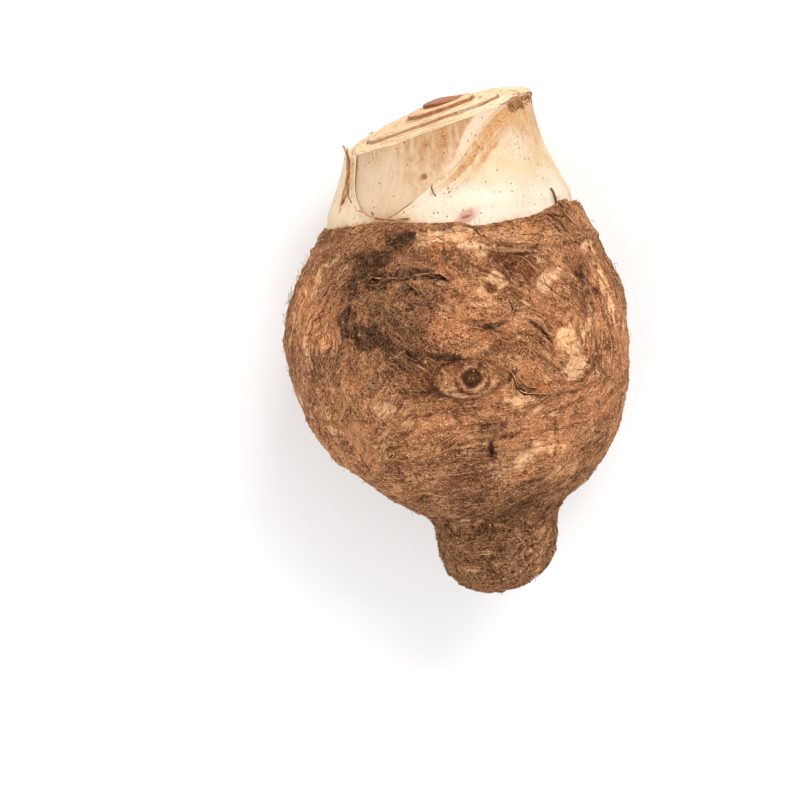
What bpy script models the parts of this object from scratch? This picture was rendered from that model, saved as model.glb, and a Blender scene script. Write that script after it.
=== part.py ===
"""Taro root: a whole corm with its trimmed leaf-stalk bases, lying on its side.

Metres, +Z up.  The long axis of the root runs along Y: the cut leaf stalks are at +Y, the small
round foot at -Y.  The origin is on the table, under the middle of the root's outline.
Profiles below are in millimetres along and away from the long axis.
"""
import math

import bmesh
import bpy
import numpy as np

MM = 0.001
GAP = 0.32  # clearance between neighbouring pieces

# The corm: distance along the axis, radius, sideways shift of the centre.
CORM_PROFILE = (
    (-88.3, 0.0, 4.0), (-87.2, 7.5, 4.2), (-83.6, 14.6, 4.5), (-77.5, 19.4, 4.9),
    (-69.5, 21.2, 5.1), (-62.5, 21.8, 5.2), (-58.5, 24.6, 5.0), (-53.5, 32.0, 4.6),
    (-46.5, 40.3, 3.8), (-37.0, 48.4, 2.5), (-26.0, 54.2, 1.0), (-13.0, 57.8, -0.3),
    (0.0, 59.6, -1.0), (12.0, 58.8, -1.3), (23.0, 56.2, -0.8), (32.0, 51.8, 0.3),
    (38.5, 47.9, 1.0), (43.2, 45.7, 1.4), (44.6, 45.0, 1.5),
)
CORM_AROUND = 60     # facets around the corm
LEAF_AROUND = 48     # facets around each leaf
LEAF_LEVELS = 6      # heights at which each wall of a leaf is set out
CORM_ROWS = 46       # rows from the foot to the rim of the skin
DOME_ROWS = 6        # rows over the hidden growing tip
RIM_HEIGHT = 44.7    # where the skin ends and the leaf stalks begin
RIM_RADIUS = 44.0
APEX_HEIGHT = 50.0   # top of the hidden growing tip
STEM_SHIFT = 1.5     # sideways shift of the whole leaf-stalk bundle
BELLY_FLAT = 1.25    # depth of the flat on which the corm has settled

# Broad unevenness of the corm: lobes around, waves along, phase, height.
LUMPS = ((2, 0.8, 0.4, 0.50), (3, 1.7, 2.1, 0.55), (5, 2.6, 4.0, 0.35), (7, 3.3, 1.2, 0.25))
# Leaf-scar rings: distance along the axis, slope across, height of the step.
SCAR_RINGS = ((36.3, -0.062, 0.8), (9.0, 0.05, 0.5), (-19.0, 0.03, 0.6), (-35.0, -0.04, 0.6),
              (-50.0, 0.02, 0.5))
# Side buds: distance along the axis, angle around it, radius, height.
SIDE_BUDS = ((-8.0, 87.0, 7.5, 1.6), (20.5, 76.0, 6.0, 1.2), (-16.0, 62.0, 5.0, 0.8),
             (6.0, 215.0, 7.5, 1.6), (-30.0, 330.0, 6.5, 1.3), (26.0, 292.0, 6.0, 1.1))

# The bundle of leaf stalks: height, radius.
STEM_PROFILE = ((44.0, 44.5), (49.0, 42.7), (54.0, 40.5), (60.0, 37.9), (66.0, 35.7),
                (72.0, 34.2), (79.0, 33.3), (90.0, 33.4))
STEM_TOP_RADIUS = 33.3
# Outlines between neighbouring leaves where the bundle is thinnest: centre x, centre z, half width,
# half depth.  Each leaf fills the room between one outline and the next.
LEAF_OUTLINES = ((0.0, 0.0, 33.3, 33.3), (-0.8, 1.5, 29.8, 30.3), (-2.0, -5.9, 23.9, 20.2),
                 (1.0, -11.4, 12.6, 12.2), (1.4, -16.0, 6.4, 5.2))
# How far the three youngest leaves stand above the plane of the knife cut.
THIRD_PROUD, FOURTH_PROUD, HEART_PROUD = 0.5, 2.3, 3.2
# The knife cut across the stalks: height on the axis, slope across, slope back to front, dome.
CUT_HEIGHT, CUT_SLOPE_X, CUT_SLOPE_Z, CUT_DOME = 77.1, 0.2235, -0.147, 2.5
# Free edge of the outer leaf's clasping base: angle around the bundle, height.
FREE_EDGE = ((19.5, 86.0), (45.0, 81.0), (60.0, 75.8), (70.0, 69.2), (83.0, 61.4), (97.0, 55.8),
             (110.0, 50.4), (121.0, 47.7), (130.0, 47.8), (146.0, 53.6), (155.0, 61.0), (160.0, 71.0))
EDGE_TAPER, EDGE_THINNING = 9.0, 0.75   # the clasping base thins over this height, by this share

COLOURS = {
    "taro_skin": (0.26, 0.13, 0.065),
    "outer_leaf": (0.86, 0.74, 0.55),
    "stalk_flesh": (0.80, 0.66, 0.46),
    "inner_leaf": (0.76, 0.53, 0.33),
    "heart_leaf": (0.50, 0.24, 0.13),
}


def smooth_curve(points, count=None, at=None):
    """Smooth curve through the points, sampled evenly along its length or at given first values."""
    p = np.array(points, float)
    step = np.maximum(np.linalg.norm(np.diff(p[:, :2], axis=0), axis=1), 1e-9)
    t = np.concatenate(([0.0], np.cumsum(step)))
    slope = np.gradient(p, t, axis=0)

    def sample(s):
        i = np.clip(np.searchsorted(t, s, side="right") - 1, 0, len(t) - 2)
        h = (t[i + 1] - t[i])[:, None]
        u = ((s - t[i]) / (t[i + 1] - t[i]))[:, None]
        return ((2 * u**3 - 3 * u**2 + 1) * p[i] + (u**3 - 2 * u**2 + u) * h * slope[i]
                + (3 * u**2 - 2 * u**3) * p[i + 1] + (u**3 - u**2) * h * slope[i + 1])

    if count is not None:
        return sample(np.linspace(0.0, t[-1], count))
    fine = sample(np.linspace(0.0, t[-1], 600))
    return np.interp(at, fine[:, 0], fine[:, 1])


def stem_radius(height):
    return smooth_curve(STEM_PROFILE, at=height)


def dome_height(radius):
    """Height of the hidden growing tip at a distance from the bundle's axis."""
    return APEX_HEIGHT - (APEX_HEIGHT - RIM_HEIGHT) * (radius / RIM_RADIUS) ** 2


def cut_height(x, z):
    dome = CUT_DOME * (1.0 - (x / STEM_TOP_RADIUS) ** 2)
    return CUT_HEIGHT + CUT_SLOPE_X * x + CUT_SLOPE_Z * z + dome


def corm_relief(along, angle, radius):
    """Height of lumps, scar rings and side buds above the plain profile."""
    relief = 0.0
    for lobes, waves, phase, height in LUMPS:
        relief += height * math.cos(lobes * angle + phase) * math.sin(waves * along / 30.0 + phase)
    relief *= min(1.0, radius / 40.0)
    for ring, slope, height in SCAR_RINGS:
        distance = along - ring - slope * radius * math.cos(angle)
        relief += height * math.exp(-((distance / 2.4) ** 2))
    for bud, degrees, size, height in SIDE_BUDS:
        turn = math.atan2(math.sin(angle - math.radians(degrees)),
                          math.cos(angle - math.radians(degrees)))
        reach = math.hypot(along - bud, turn * radius) / size
        relief += height * math.exp(-(reach**2) * 2.0)
    return relief


def grid_solid(rows, first_pole=None, last_pole=None, closed=False):
    """Closed mesh from equal rows of points; ends close on a pole, or the rows join in a ring."""
    bm = bmesh.new()
    around = len(rows[0])
    rings = [[bm.verts.new(p) for p in row] for row in rows]
    pairs = list(zip(rings, rings[1:]))
    if closed:
        pairs.append((rings[-1], rings[0]))
    for lower, upper in pairs:
        for i in range(around):
            j = (i + 1) % around
            bm.faces.new((lower[i], lower[j], upper[j], upper[i]))
    for pole, ring in ((first_pole, rings[0]), (last_pole, rings[-1])):
        if pole is not None:
            tip = bm.verts.new(pole)
            for i in range(around):
                bm.faces.new((ring[i], ring[(i + 1) % around], tip))
    bmesh.ops.recalc_face_normals(bm, faces=bm.faces)
    bmesh.ops.triangulate(bm, faces=bm.faces)
    return bm


def add_piece(name, bm, colour):
    mesh = bpy.data.meshes.new(name)
    bm.to_mesh(mesh)
    bm.free()
    material = bpy.data.materials.get(colour) or bpy.data.materials.new(colour)
    material.use_nodes = True
    shader = material.node_tree.nodes["Principled BSDF"]
    shader.inputs["Base Color"].default_value = (*COLOURS[colour], 1.0)
    shader.inputs["Roughness"].default_value = 0.75
    mesh.materials.append(material)
    piece = bpy.data.objects.new(name, mesh)
    bpy.context.scene.collection.objects.link(piece)
    return piece


def full_turn(count):
    return [2.0 * math.pi * i / count for i in range(count)]


def corm():
    """The whole brown root in one solid: foot, body, rim of the skin and the hidden growing tip."""
    side = smooth_curve(CORM_PROFILE, CORM_ROWS)
    tangent = np.gradient(side[:, :2], axis=0)
    tangent /= np.linalg.norm(tangent, axis=1)[:, None]
    rows = []
    for (along, radius, shift), (t_along, t_radius) in zip(side[1:], tangent[1:]):
        row = []
        for angle in full_turn(CORM_AROUND):
            relief = corm_relief(along, angle, radius)
            r = radius + relief * t_along
            row.append((shift + r * math.cos(angle), along - relief * t_radius, r * math.sin(angle)))
        rows.append(row)
    rows[-1] = [(STEM_SHIFT + 45.0 * math.cos(a), RIM_HEIGHT - 0.1, 45.0 * math.sin(a))
                for a in full_turn(CORM_AROUND)]
    for i in range(DOME_ROWS):
        r = RIM_RADIUS * (1.0 - i / DOME_ROWS)
        rows.append([(STEM_SHIFT + r * math.cos(a), dome_height(r), r * math.sin(a))
                     for a in full_turn(CORM_AROUND)])
    bm = grid_solid(rows, (side[0][2], side[0][0], 0.0), (STEM_SHIFT, APEX_HEIGHT, 0.0))
    belly = min(v.co.z for v in bm.verts) + BELLY_FLAT
    cut = bmesh.ops.bisect_plane(bm, geom=bm.verts[:] + bm.edges[:] + bm.faces[:], dist=1e-5,
                                 plane_co=(0.0, 0.0, belly), plane_no=(0.0, 0.0, -1.0),
                                 clear_outer=True)
    rim = [e for e in cut["geom_cut"] if isinstance(e, bmesh.types.BMEdge)]
    bmesh.ops.contextual_create(bm, geom=rim)
    bmesh.ops.remove_doubles(bm, verts=bm.verts[:], dist=0.05)
    bmesh.ops.recalc_face_normals(bm, faces=bm.faces)
    bmesh.ops.triangulate(bm, faces=bm.faces)
    return add_piece("corm", bm, "taro_skin")


def outline_point(outline, angle, height, shrink=0.0):
    """Point of a leaf outline, which grows with the bundle towards its base."""
    centre_x, centre_z, half_x, half_z = outline
    scale = float(stem_radius(height)) / STEM_TOP_RADIUS
    return (centre_x * scale + (half_x * scale - shrink) * math.cos(angle),
            centre_z * scale + (half_z * scale - shrink) * math.sin(angle))


def foot_height(outline, angle, shrink):
    """Height at which a leaf's wall stands on the growing tip."""
    height = RIM_HEIGHT
    for _ in range(6):
        x, z = outline_point(outline, angle, height, shrink)
        height = dome_height(min(math.hypot(x, z), RIM_RADIUS)) + GAP
    return height


def top_height(outline, angle, shrink, limit, proud):
    """Height at which the knife, or the leaf's own free edge, ends a wall."""
    height = CUT_HEIGHT
    for _ in range(6):
        x, z = outline_point(outline, angle, height, shrink)
        height = cut_height(x, z) + proud
    return min(height, limit)


def free_edge(angle):
    """Free edge of the clasping base, or no limit where the knife cut it."""
    degrees = math.degrees(angle) % 360.0
    if FREE_EDGE[0][0] <= degrees <= FREE_EDGE[-1][0]:
        return float(smooth_curve(FREE_EDGE, at=degrees))
    return math.inf


def wall(outline, angle, shrink, limit, proud, levels=LEAF_LEVELS):
    low = foot_height(outline, angle, shrink)
    high = top_height(outline, angle, shrink, limit, proud)
    points = []
    for i in range(levels):
        height = low + (high - low) * i / (levels - 1)
        x, z = outline_point(outline, angle, height, shrink)
        points.append((STEM_SHIFT + x, height, z))
    return points


def thinned(outer, inside, angle, limit):
    """Draws the outer wall towards the inner one as it nears the leaf's free edge."""
    if limit == math.inf:
        return outer
    points = []
    for x, height, z in outer:
        share = max(0.0, 1.0 - (limit - height) / EDGE_TAPER) ** 1.5 * EDGE_THINNING
        share *= min(1.0, (height - outer[0][1]) / 2.0)
        inner_x, inner_z = outline_point(inside, angle, height)
        points.append((x + (STEM_SHIFT + inner_x - x) * share, height, z + (inner_z - z) * share))
    return points


def leaf_base(name, outside, inside, colour, clasping=False, proud=0.0):
    """A leaf stalk's base: a tube between two outlines, standing on the corm and cut by the knife."""
    shrink = 0.0 if outside is LEAF_OUTLINES[0] else GAP
    columns = []
    for angle in full_turn(LEAF_AROUND):
        limit = free_edge(angle) if clasping else math.inf
        outer = thinned(wall(outside, angle, shrink, limit, proud), inside, angle, limit)
        inner = wall(inside, angle, 0.0, limit, proud)
        columns.append(outer + [bridge(outer[-1], inner[-1], cut_height, limit, proud)] + inner[::-1]
                       + [bridge(inner[0], outer[0], None, math.inf, GAP)])
    rows = [list(row) for row in zip(*columns)]
    return add_piece(name, grid_solid(rows, closed=True), colour)


def bridge(start, end, surface, limit, offset):
    """Middle point between two walls, on the cut face or on the growing tip."""
    x = 0.5 * (start[0] + end[0])
    z = 0.5 * (start[2] + end[2])
    if surface is None:
        height = dome_height(math.hypot(x - STEM_SHIFT, z)) + offset
    else:
        height = min(surface(x - STEM_SHIFT, z) + offset, limit)
    return (x, height, z)


def heart_leaf():
    """The youngest leaf, a solid rod in the middle of the bundle that stands a little proud."""
    outline, proud = LEAF_OUTLINES[-1], HEART_PROUD
    columns = [wall(outline, a, GAP, math.inf, proud) for a in full_turn(LEAF_AROUND)]
    rows = [list(row) for row in zip(*columns)]
    foot = np.mean(rows[0], axis=0)
    top = np.mean(rows[-1], axis=0)
    foot[1] = dome_height(math.hypot(foot[0] - STEM_SHIFT, foot[2])) + GAP
    top[1] += 0.8
    return add_piece("heart_leaf", grid_solid(rows, tuple(foot), tuple(top)),
                     "heart_leaf")


def settle(pieces):
    """Scale to metres and move all pieces so that the bottom centre of the whole is the origin."""
    points = np.array([v.co for piece in pieces for v in piece.data.vertices])
    low, high = points.min(axis=0), points.max(axis=0)
    origin = np.array([(low[0] + high[0]) / 2, (low[1] + high[1]) / 2, low[2]])
    for piece in pieces:
        for vertex in piece.data.vertices:
            vertex.co = (np.array(vertex.co) - origin) * MM
        piece.data.update()


def build():
    for old in list(bpy.data.objects):
        bpy.data.objects.remove(old, do_unlink=True)
    pieces = [corm()]
    pieces.append(leaf_base("outer_leaf", *LEAF_OUTLINES[0:2], "outer_leaf", clasping=True))
    pieces.append(leaf_base("second_leaf", *LEAF_OUTLINES[1:3], "stalk_flesh"))
    pieces.append(leaf_base("third_leaf", *LEAF_OUTLINES[2:4], "stalk_flesh",
                            proud=THIRD_PROUD))
    pieces.append(leaf_base("fourth_leaf", *LEAF_OUTLINES[3:5], "inner_leaf",
                            proud=FOURTH_PROUD))
    pieces.append(heart_leaf())
    settle(pieces)


build()
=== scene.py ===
"""Looks of a whole taro root lying on its side: fibrous brown skin and trimmed ivory leaf stalks.

Sizes here are millimetres: across the root to its right, along its axis towards the leaf stalks,
and up towards the viewer, counted from the axis.  in_frame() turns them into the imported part's metres.
"""

import math

import bpy
import numpy as np
from mathutils import Matrix, Vector
from mathutils.bvhtree import BVHTree


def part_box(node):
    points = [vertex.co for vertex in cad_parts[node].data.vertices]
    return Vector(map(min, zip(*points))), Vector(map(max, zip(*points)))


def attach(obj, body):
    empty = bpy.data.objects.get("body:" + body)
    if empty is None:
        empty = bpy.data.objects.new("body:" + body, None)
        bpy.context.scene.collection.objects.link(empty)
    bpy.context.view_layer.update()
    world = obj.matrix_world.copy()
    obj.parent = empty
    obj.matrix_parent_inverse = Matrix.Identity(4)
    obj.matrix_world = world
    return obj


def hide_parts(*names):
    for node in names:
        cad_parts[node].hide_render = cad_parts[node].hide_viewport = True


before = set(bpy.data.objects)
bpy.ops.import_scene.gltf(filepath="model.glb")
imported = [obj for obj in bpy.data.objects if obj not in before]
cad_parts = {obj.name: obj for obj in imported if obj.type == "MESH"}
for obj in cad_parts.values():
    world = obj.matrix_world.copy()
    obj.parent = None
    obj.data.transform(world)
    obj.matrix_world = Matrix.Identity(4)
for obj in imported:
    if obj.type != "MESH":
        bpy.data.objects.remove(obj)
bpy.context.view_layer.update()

MM = 0.001
FOOT_END = -88.3       # the foot's lowest point along the axis
STEM_SHIFT = 1.5       # the leaf bundle sits a little to the right of the axis
STEM_TOP_RADIUS = 33.3
RIM_HEIGHT, RIM_RADIUS, APEX_HEIGHT = 44.7, 44.0, 50.0
SPINE = (              # along, how far the middle of the root is to the right there
    (-90, 5), (-60, 5.2), (-37, 2.5), (-13, -0.3), (12, -1.3), (32, 0.3), (45, 1.5), (90, 1.5))
STEM_PROFILE = (       # along, radius of the leaf bundle
    (38, 46.8), (44, 44.5), (49, 42.7), (54, 40.5), (60, 37.9), (66, 35.7), (72, 34.2), (79, 33.3),
    (90, 33.4))
LEAF_OUTLINES = (      # centre to the right, centre up, half width, half height; outermost first
    (0, 0, 33.3, 33.3), (-0.8, 1.5, 29.8, 30.3), (-2, -5.9, 23.9, 20.2), (1, -13, 12.6, 10.6),
    (2.2, -16, 7.6, 4.8))
THIRD_PROUD, FOURTH_PROUD, HEART_PROUD = 0.8, 2.0, 2.5
HEART_LEVEL = 0.10     # how much less the heart leaf's top slopes than the cut does
CUT_HEIGHT, CUT_SLOPE_X, CUT_SLOPE_Z, CUT_DOME = 77.1, 0.2235, -0.147, 2.5
FREE_EDGE = (          # degrees round from the right, height of the outermost leaf's edge
    (19.5, 84.8), (33, 81.5), (41, 79.4), (48, 77.6), (54, 75.7), (61.5, 72.7), (68.5, 69.3), (83, 61.4),
    (97, 55.8), (110, 50.4), (121, 46.9), (130, 47.2), (146, 53.6), (155, 61), (160, 71))
NO_EDGE = 1e3          # a height that stands for no free edge, far above the cut
EDGE_TAPER, EDGE_THINNING = 9.0, 0.86
RIM_LINE = (           # degrees round from the right, height where the skin stops round the stalks
    (-180, 44.6), (0, 44.6), (20, 44.8), (31, 45.3), (40, 43.8), (50, 42.3), (60, 41.5), (70, 41.1),
    (80, 41.5), (87, 43), (100, 43.8), (112, 44.8), (130, 45.4), (150, 44.6), (180, 44.6))

stem_low, stem_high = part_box("outer_leaf")
corm_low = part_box("corm")[0]
ORIGIN = np.array([(stem_low.x + stem_high.x) / 2 / MM - STEM_SHIFT, corm_low.y / MM - FOOT_END,
                   (stem_low.z + stem_high.z) / 2 / MM])


def in_frame(points):
    return (np.asarray(points, float) + ORIGIN) * MM


# ---------------------------------------------------------------- number helpers

def smooth_curve(points, at):
    """Smooth curve through the points, read at the given first values."""
    p = np.array(points, float)
    step = np.maximum(np.linalg.norm(np.diff(p, axis=0), axis=1), 1e-9)
    t = np.concatenate(([0.0], np.cumsum(step)))
    slope = np.gradient(p, t, axis=0)
    s = np.linspace(0.0, t[-1], 800)
    i = np.clip(np.searchsorted(t, s, side="right") - 1, 0, len(t) - 2)
    h = (t[i + 1] - t[i])[:, None]
    u = ((s - t[i]) / (t[i + 1] - t[i]))[:, None]
    fine = ((2 * u**3 - 3 * u**2 + 1) * p[i] + (u**3 - 2 * u**2 + u) * h * slope[i]
            + (3 * u**2 - 2 * u**3) * p[i + 1] + (u**3 - u**2) * h * slope[i + 1])
    return np.interp(at, fine[:, 0], fine[:, 1])


def columns_along(rows, count, start=0.0, end=1.0):
    """Smooth values of each column of a short list of rows, read at even steps from start to end."""
    knots = np.linspace(0, 1, len(rows))
    t = np.linspace(start, end, count)
    return [smooth_curve(list(zip(knots, column)), t) for column in zip(*rows)]


def ease(low, high, value):
    """0 below low, 1 above high, smooth between; low may be the larger one."""
    t = np.clip((value - low) / (high - low), 0.0, 1.0)
    return t * t * (3.0 - 2.0 * t)


def hump(value, width=1.0):
    """1 where the value is 0, falling off smoothly on both sides over the given width."""
    return np.exp(-((value / width) ** 2))


def smoothed(values):
    """Each value drawn towards its two neighbours, with the ends left where they are."""
    middle = 0.5 * values[1:-1] + 0.25 * (values[:-2] + values[2:])
    return np.concatenate([values[:1], middle, values[-1:]])


def knot(i, j, k, seed):
    """A repeatable value between -1 and 1 for each point of a lattice."""
    h = (i * 374761393 + j * 668265263 + k * 974634777 + seed * 362437) & 0xFFFFFFFF
    h = ((h ^ (h >> 13)) * 1274126177) & 0xFFFFFFFF
    return ((h ^ (h >> 16)) & 0xFFFF) / 32767.5 - 1.0


def lumps(p, size, seed, octaves=1, falloff=0.5):
    """Smooth random lumps of the given size at points p, about -1 to 1."""
    p = np.asarray(p, float)
    total, weight, norm = 0.0, 1.0, 0.0
    for octave in range(octaves):
        q = p / (np.asarray(size, float) * 0.5**octave)
        cell = np.floor(q).astype(np.int64)
        f = q - cell
        f = f * f * (3.0 - 2.0 * f)
        value = 0.0
        for a in (0, 1):
            wa = f[..., 0] if a else 1.0 - f[..., 0]
            for b in (0, 1):
                wb = f[..., 1] if b else 1.0 - f[..., 1]
                for c in (0, 1):
                    wc = f[..., 2] if c else 1.0 - f[..., 2]
                    value = value + wa * wb * wc * knot(cell[..., 0] + a, cell[..., 1] + b,
                                                        cell[..., 2] + c, seed + 31 * octave)
        total, norm = total + weight * value, norm + weight
        weight *= falloff
    return total / norm * 1.35


def unit(v):
    return v / np.maximum(np.linalg.norm(v, axis=-1, keepdims=True), 1e-12)


def wrapped(angle):
    """The same angle, between minus half a turn and half a turn."""
    return np.arctan2(np.sin(angle), np.cos(angle))


def spine_at(along):
    return np.interp(along, *zip(*SPINE))


def from_stem(x, height, z):
    """Points given by how far they are from the middle of the leaf bundle."""
    return np.stack([STEM_SHIFT + x, height, z], -1)


def off_the_floor(points, gap):
    """The points, with those that are too low lifted to a gap above the floor."""
    points[..., 2] = np.maximum(points[..., 2], gap - ORIGIN[2])
    return points


# ---------------------------------------------------------------- mesh helpers

def mesh_piece(name, points, faces, material, marks, replaces=()):
    """A smooth-shaded piece from millimetre points, with one named value per point for each mark."""
    mesh = bpy.data.meshes.new(name)
    points, faces = in_frame(points), np.asarray(faces, np.int32)
    sides = faces.shape[1]
    mesh.vertices.add(len(points))
    mesh.vertices.foreach_set("co", points.astype(np.float32).ravel())
    mesh.loops.add(faces.size)
    mesh.loops.foreach_set("vertex_index", faces.ravel())
    mesh.polygons.add(len(faces))
    mesh.polygons.foreach_set("loop_start", np.arange(0, faces.size, sides, dtype=np.int32))
    mesh.polygons.foreach_set("use_smooth", np.ones(len(faces), bool))
    mesh.update(calc_edges=True)
    mesh.validate()
    for mark, values in marks.items():
        layer = mesh.attributes.new(mark, "FLOAT", "POINT")
        layer.data.foreach_set("value", np.asarray(values, np.float32).ravel())
    mesh.materials.append(material)
    piece = bpy.data.objects.new(name, mesh)
    bpy.context.scene.collection.objects.link(piece)
    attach(piece, "root")
    if replaces:
        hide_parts(*replaces)
    return piece


def grid_faces(rows, columns, closed_rows=False):
    """Quads of a grid that wraps round its columns, and round its rows too when they close."""
    r = np.arange(rows if closed_rows else rows - 1)
    r0, c0 = [x.ravel() for x in np.meshgrid(r, np.arange(columns), indexing="ij")]
    r1, c1 = (r0 + 1) % rows, (c0 + 1) % columns
    return np.stack([r0 * columns + c0, r0 * columns + c1, r1 * columns + c1, r1 * columns + c0], -1)


def capped_grid(grid, foot, top):
    """Points and triangles of a grid that wraps round and is closed by one point at each end."""
    rows, around = grid.shape[:2]
    points = np.concatenate([grid.reshape(-1, 3), [foot], [top]])
    quads = grid_faces(rows, around)
    c = np.arange(around)
    beside, last = (c + 1) % around, (rows - 1) * around
    at_foot, at_top = np.full(around, rows * around), np.full(around, rows * around + 1)
    ends = [np.stack([beside, c, at_foot], -1), np.stack([last + c, last + beside, at_top], -1)]
    return points, np.concatenate([quads[:, [0, 1, 2]], quads[:, [0, 2, 3]], *ends])[:, ::-1]


# ---------------------------------------------------------------- the corm's skin

AROUND, FRONT_CROWDING = 430, 0.30
FOOT_ROWS, BODY_ROWS = 40, 186
FOOT_CENTRE = -67.0
CAST_TOP = 44.2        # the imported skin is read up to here
RIM_SLOPE = -0.52      # how fast the skin narrows above that
SHOULDER_LEVEL = 1.25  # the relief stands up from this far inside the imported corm's shoulder
SMOOTHINGS = 14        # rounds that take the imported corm's facets away
SKIN_GAP, STRAND_GAP = 0.02, 0.01
USUAL_RADIUS = 56.0    # of the root where its cracks are
STREAK_STEP = 0.8


def around_angles(count, crowding):
    """Angles round the root, closer together on the side that faces up."""
    t = -math.pi / 2 + 2 * math.pi * np.arange(count) / count
    return t + crowding * np.cos(t)


def cast_skin(tree, start, direction):
    """Distance from inside the corm to the level that its skin's relief stands on."""
    hit = tree.ray_cast(Vector(start), Vector(direction))
    level = SHOULDER_LEVEL * float(ease(14.0, 24.0, start[1]))
    return hit[3] - level if hit[0] is not None else 0.0


def rim_height(angles):
    """Height at which the skin stops, all round the leaf stalks."""
    ring = np.stack([np.cos(angles) * 45, 0 * angles, np.sin(angles) * 45], -1)
    return smooth_curve(RIM_LINE, np.degrees(wrapped(angles))) + 0.45 * lumps(ring, 5.0, 51, 3, 0.7)


def surface_tree(pieces):
    """The pieces' surfaces, ready for rays to be cast at them."""
    points, faces = [], []
    for piece in pieces:
        start = len(points)
        points += [Vector(p) for p in np.array([v.co for v in piece.data.vertices]) / MM - ORIGIN]
        faces += [[start + k for k in p.vertices] for p in piece.data.polygons]
    return BVHTree.FromPolygons(points, faces)


def plain_skin(tree, angles):
    """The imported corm's outside as an even grid of points, without its facets."""
    reach = np.linspace(FOOT_CENTRE, CAST_TOP, 160)
    ways = ((1, 0, 0), (-1, 0, 0), (0, 0, 1))
    side = np.array([np.mean([cast_skin(tree, (x, along, 0), way) for way in ways])
                     for x, along in zip(spine_at(reach), reach)])
    length = np.concatenate(([0], np.cumsum(np.hypot(np.diff(reach), np.diff(side)))))
    body = np.interp(np.linspace(0, length[-1], BODY_ROWS), length, reach)
    starts = np.concatenate([np.full(FOOT_ROWS, FOOT_CENTRE), body])
    dips = np.concatenate([np.linspace(math.radians(1.5), math.pi / 2, FOOT_ROWS + 1)[:-1],
                           np.full(BODY_ROWS, math.pi / 2)])[:, None]
    starts = starts[:, None] + (rim_height(angles) - CAST_TOP) * ease(22.0, CAST_TOP, starts)[:, None]
    centre = np.stack([spine_at(starts), np.minimum(starts, CAST_TOP), np.zeros_like(starts)], -1)
    rays = np.stack([np.sin(dips) * np.cos(angles), np.repeat(-np.cos(dips), AROUND, 1),
                     np.sin(dips) * np.sin(angles)], -1)
    depth = np.array([[cast_skin(tree, centre[i, j], rays[i, j]) for j in range(AROUND)]
                      for i in range(len(starts))])
    above = np.maximum(starts - CAST_TOP, 0.0)
    depth = depth + RIM_SLOPE * above
    for _ in range(SMOOTHINGS):
        depth = smoothed(0.5 * depth + 0.25 * (np.roll(depth, 1, 1) + np.roll(depth, -1, 1)))
    grid = centre + rays * depth[..., None]
    grid[..., 1] += above
    return grid


def columns_apart(grid):
    """From each point's neighbour on one side to its neighbour on the other, round the root."""
    return np.roll(grid, -1, 1) - np.roll(grid, 1, 1)


def surface_normals(grid):
    return unit(np.cross(np.gradient(grid, axis=0), columns_apart(grid)))


class Skin:
    """The skin's grid with the places and measures that its details are laid out by."""

    def __init__(self):
        self.tree = surface_tree([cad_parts["corm"]])
        self.angles = around_angles(AROUND, FRONT_CROWDING)
        self.base = plain_skin(self.tree, self.angles)
        self.normal = surface_normals(self.base)
        self.along = self.base[..., 1]
        off_axis = self.base[..., 0] - spine_at(self.along)
        self.turn = np.arctan2(self.base[..., 2], off_axis)
        self.radius = np.hypot(self.base[..., 2], off_axis)
        self.height = np.zeros_like(self.along)
        self.row_size = np.maximum(np.linalg.norm(np.gradient(self.base, axis=0), axis=-1), 0.05)
        self.column_size = np.maximum(np.linalg.norm(columns_apart(self.base) / 2, axis=-1), 0.05)
        self.marks = {}

    def from_spot(self, along, degrees):
        """Millimetres to the right of a spot, and up from it, over the skin."""
        return -wrapped(self.turn - math.radians(degrees)) * self.radius, self.along - along

    def spot(self, along, degrees, wide, tall, lean=0.0, ragged=0.0, seed=0, softness=0.12):
        """1 inside an oval spot, 0 outside it, with a ragged edge."""
        right, up = self.from_spot(along, degrees)
        c, s = math.cos(math.radians(lean)), math.sin(math.radians(lean))
        reach = np.hypot((right * c + up * s) / wide, (up * c - right * s) / tall)
        if ragged:
            reach = reach + ragged * lumps(self.base, 4.0, seed, 3, 0.6)
        return ease(1.0 + softness, 1.0 - softness, reach)

    def patches(self, spots, seed, ragged=0.5, softness=0.42):
        """The strongest of a list of patches at every point of the skin."""
        cover = np.zeros_like(self.along)
        for n, (along, degrees, wide, tall, lean, strength) in enumerate(spots):
            spot = self.spot(along, degrees, wide, tall, lean, ragged, seed + n, softness)
            cover = np.maximum(cover, spot * strength)
        return cover

    def raise_by(self, amount):
        self.height = self.height + amount

    def nearest(self, r, c):
        """The grid point nearest to a place between rows and columns; the columns wrap round."""
        rows, columns = self.along.shape
        return np.clip(np.rint(r), 0, rows - 1).astype(int), np.rint(c).astype(int) % columns

    def step(self, r, c, here, lean, length):
        """The place that far along a lean over the skin."""
        return (r + length * np.cos(lean) / self.row_size[here],
                c - length * np.sin(lean) / self.column_size[here])


def onward(lean, last):
    """The lean, turned round where that goes on better from the last one."""
    return lean + np.where(np.cos(lean - last) < 0, math.pi, 0.0)


def line_distance(skin, path):
    """Distance over the skin to a path of (along, degrees) points, and how far along it that is."""
    best = np.full(skin.along.shape, 1e9)
    share = np.zeros(skin.along.shape)
    for n, (start, end) in enumerate(zip(path, path[1:])):
        right, up = skin.from_spot(*start)
        across = -math.radians(end[1] - start[1]) * USUAL_RADIUS
        climb = end[0] - start[0]
        t = np.clip((right * across + up * climb) / (across**2 + climb**2), 0.0, 1.0)
        d = np.hypot(right - t * across, up - t * climb)
        share = np.where(d < best, (n + t) / (len(path) - 1), share)
        best = np.minimum(best, d)
    return best, share


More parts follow.
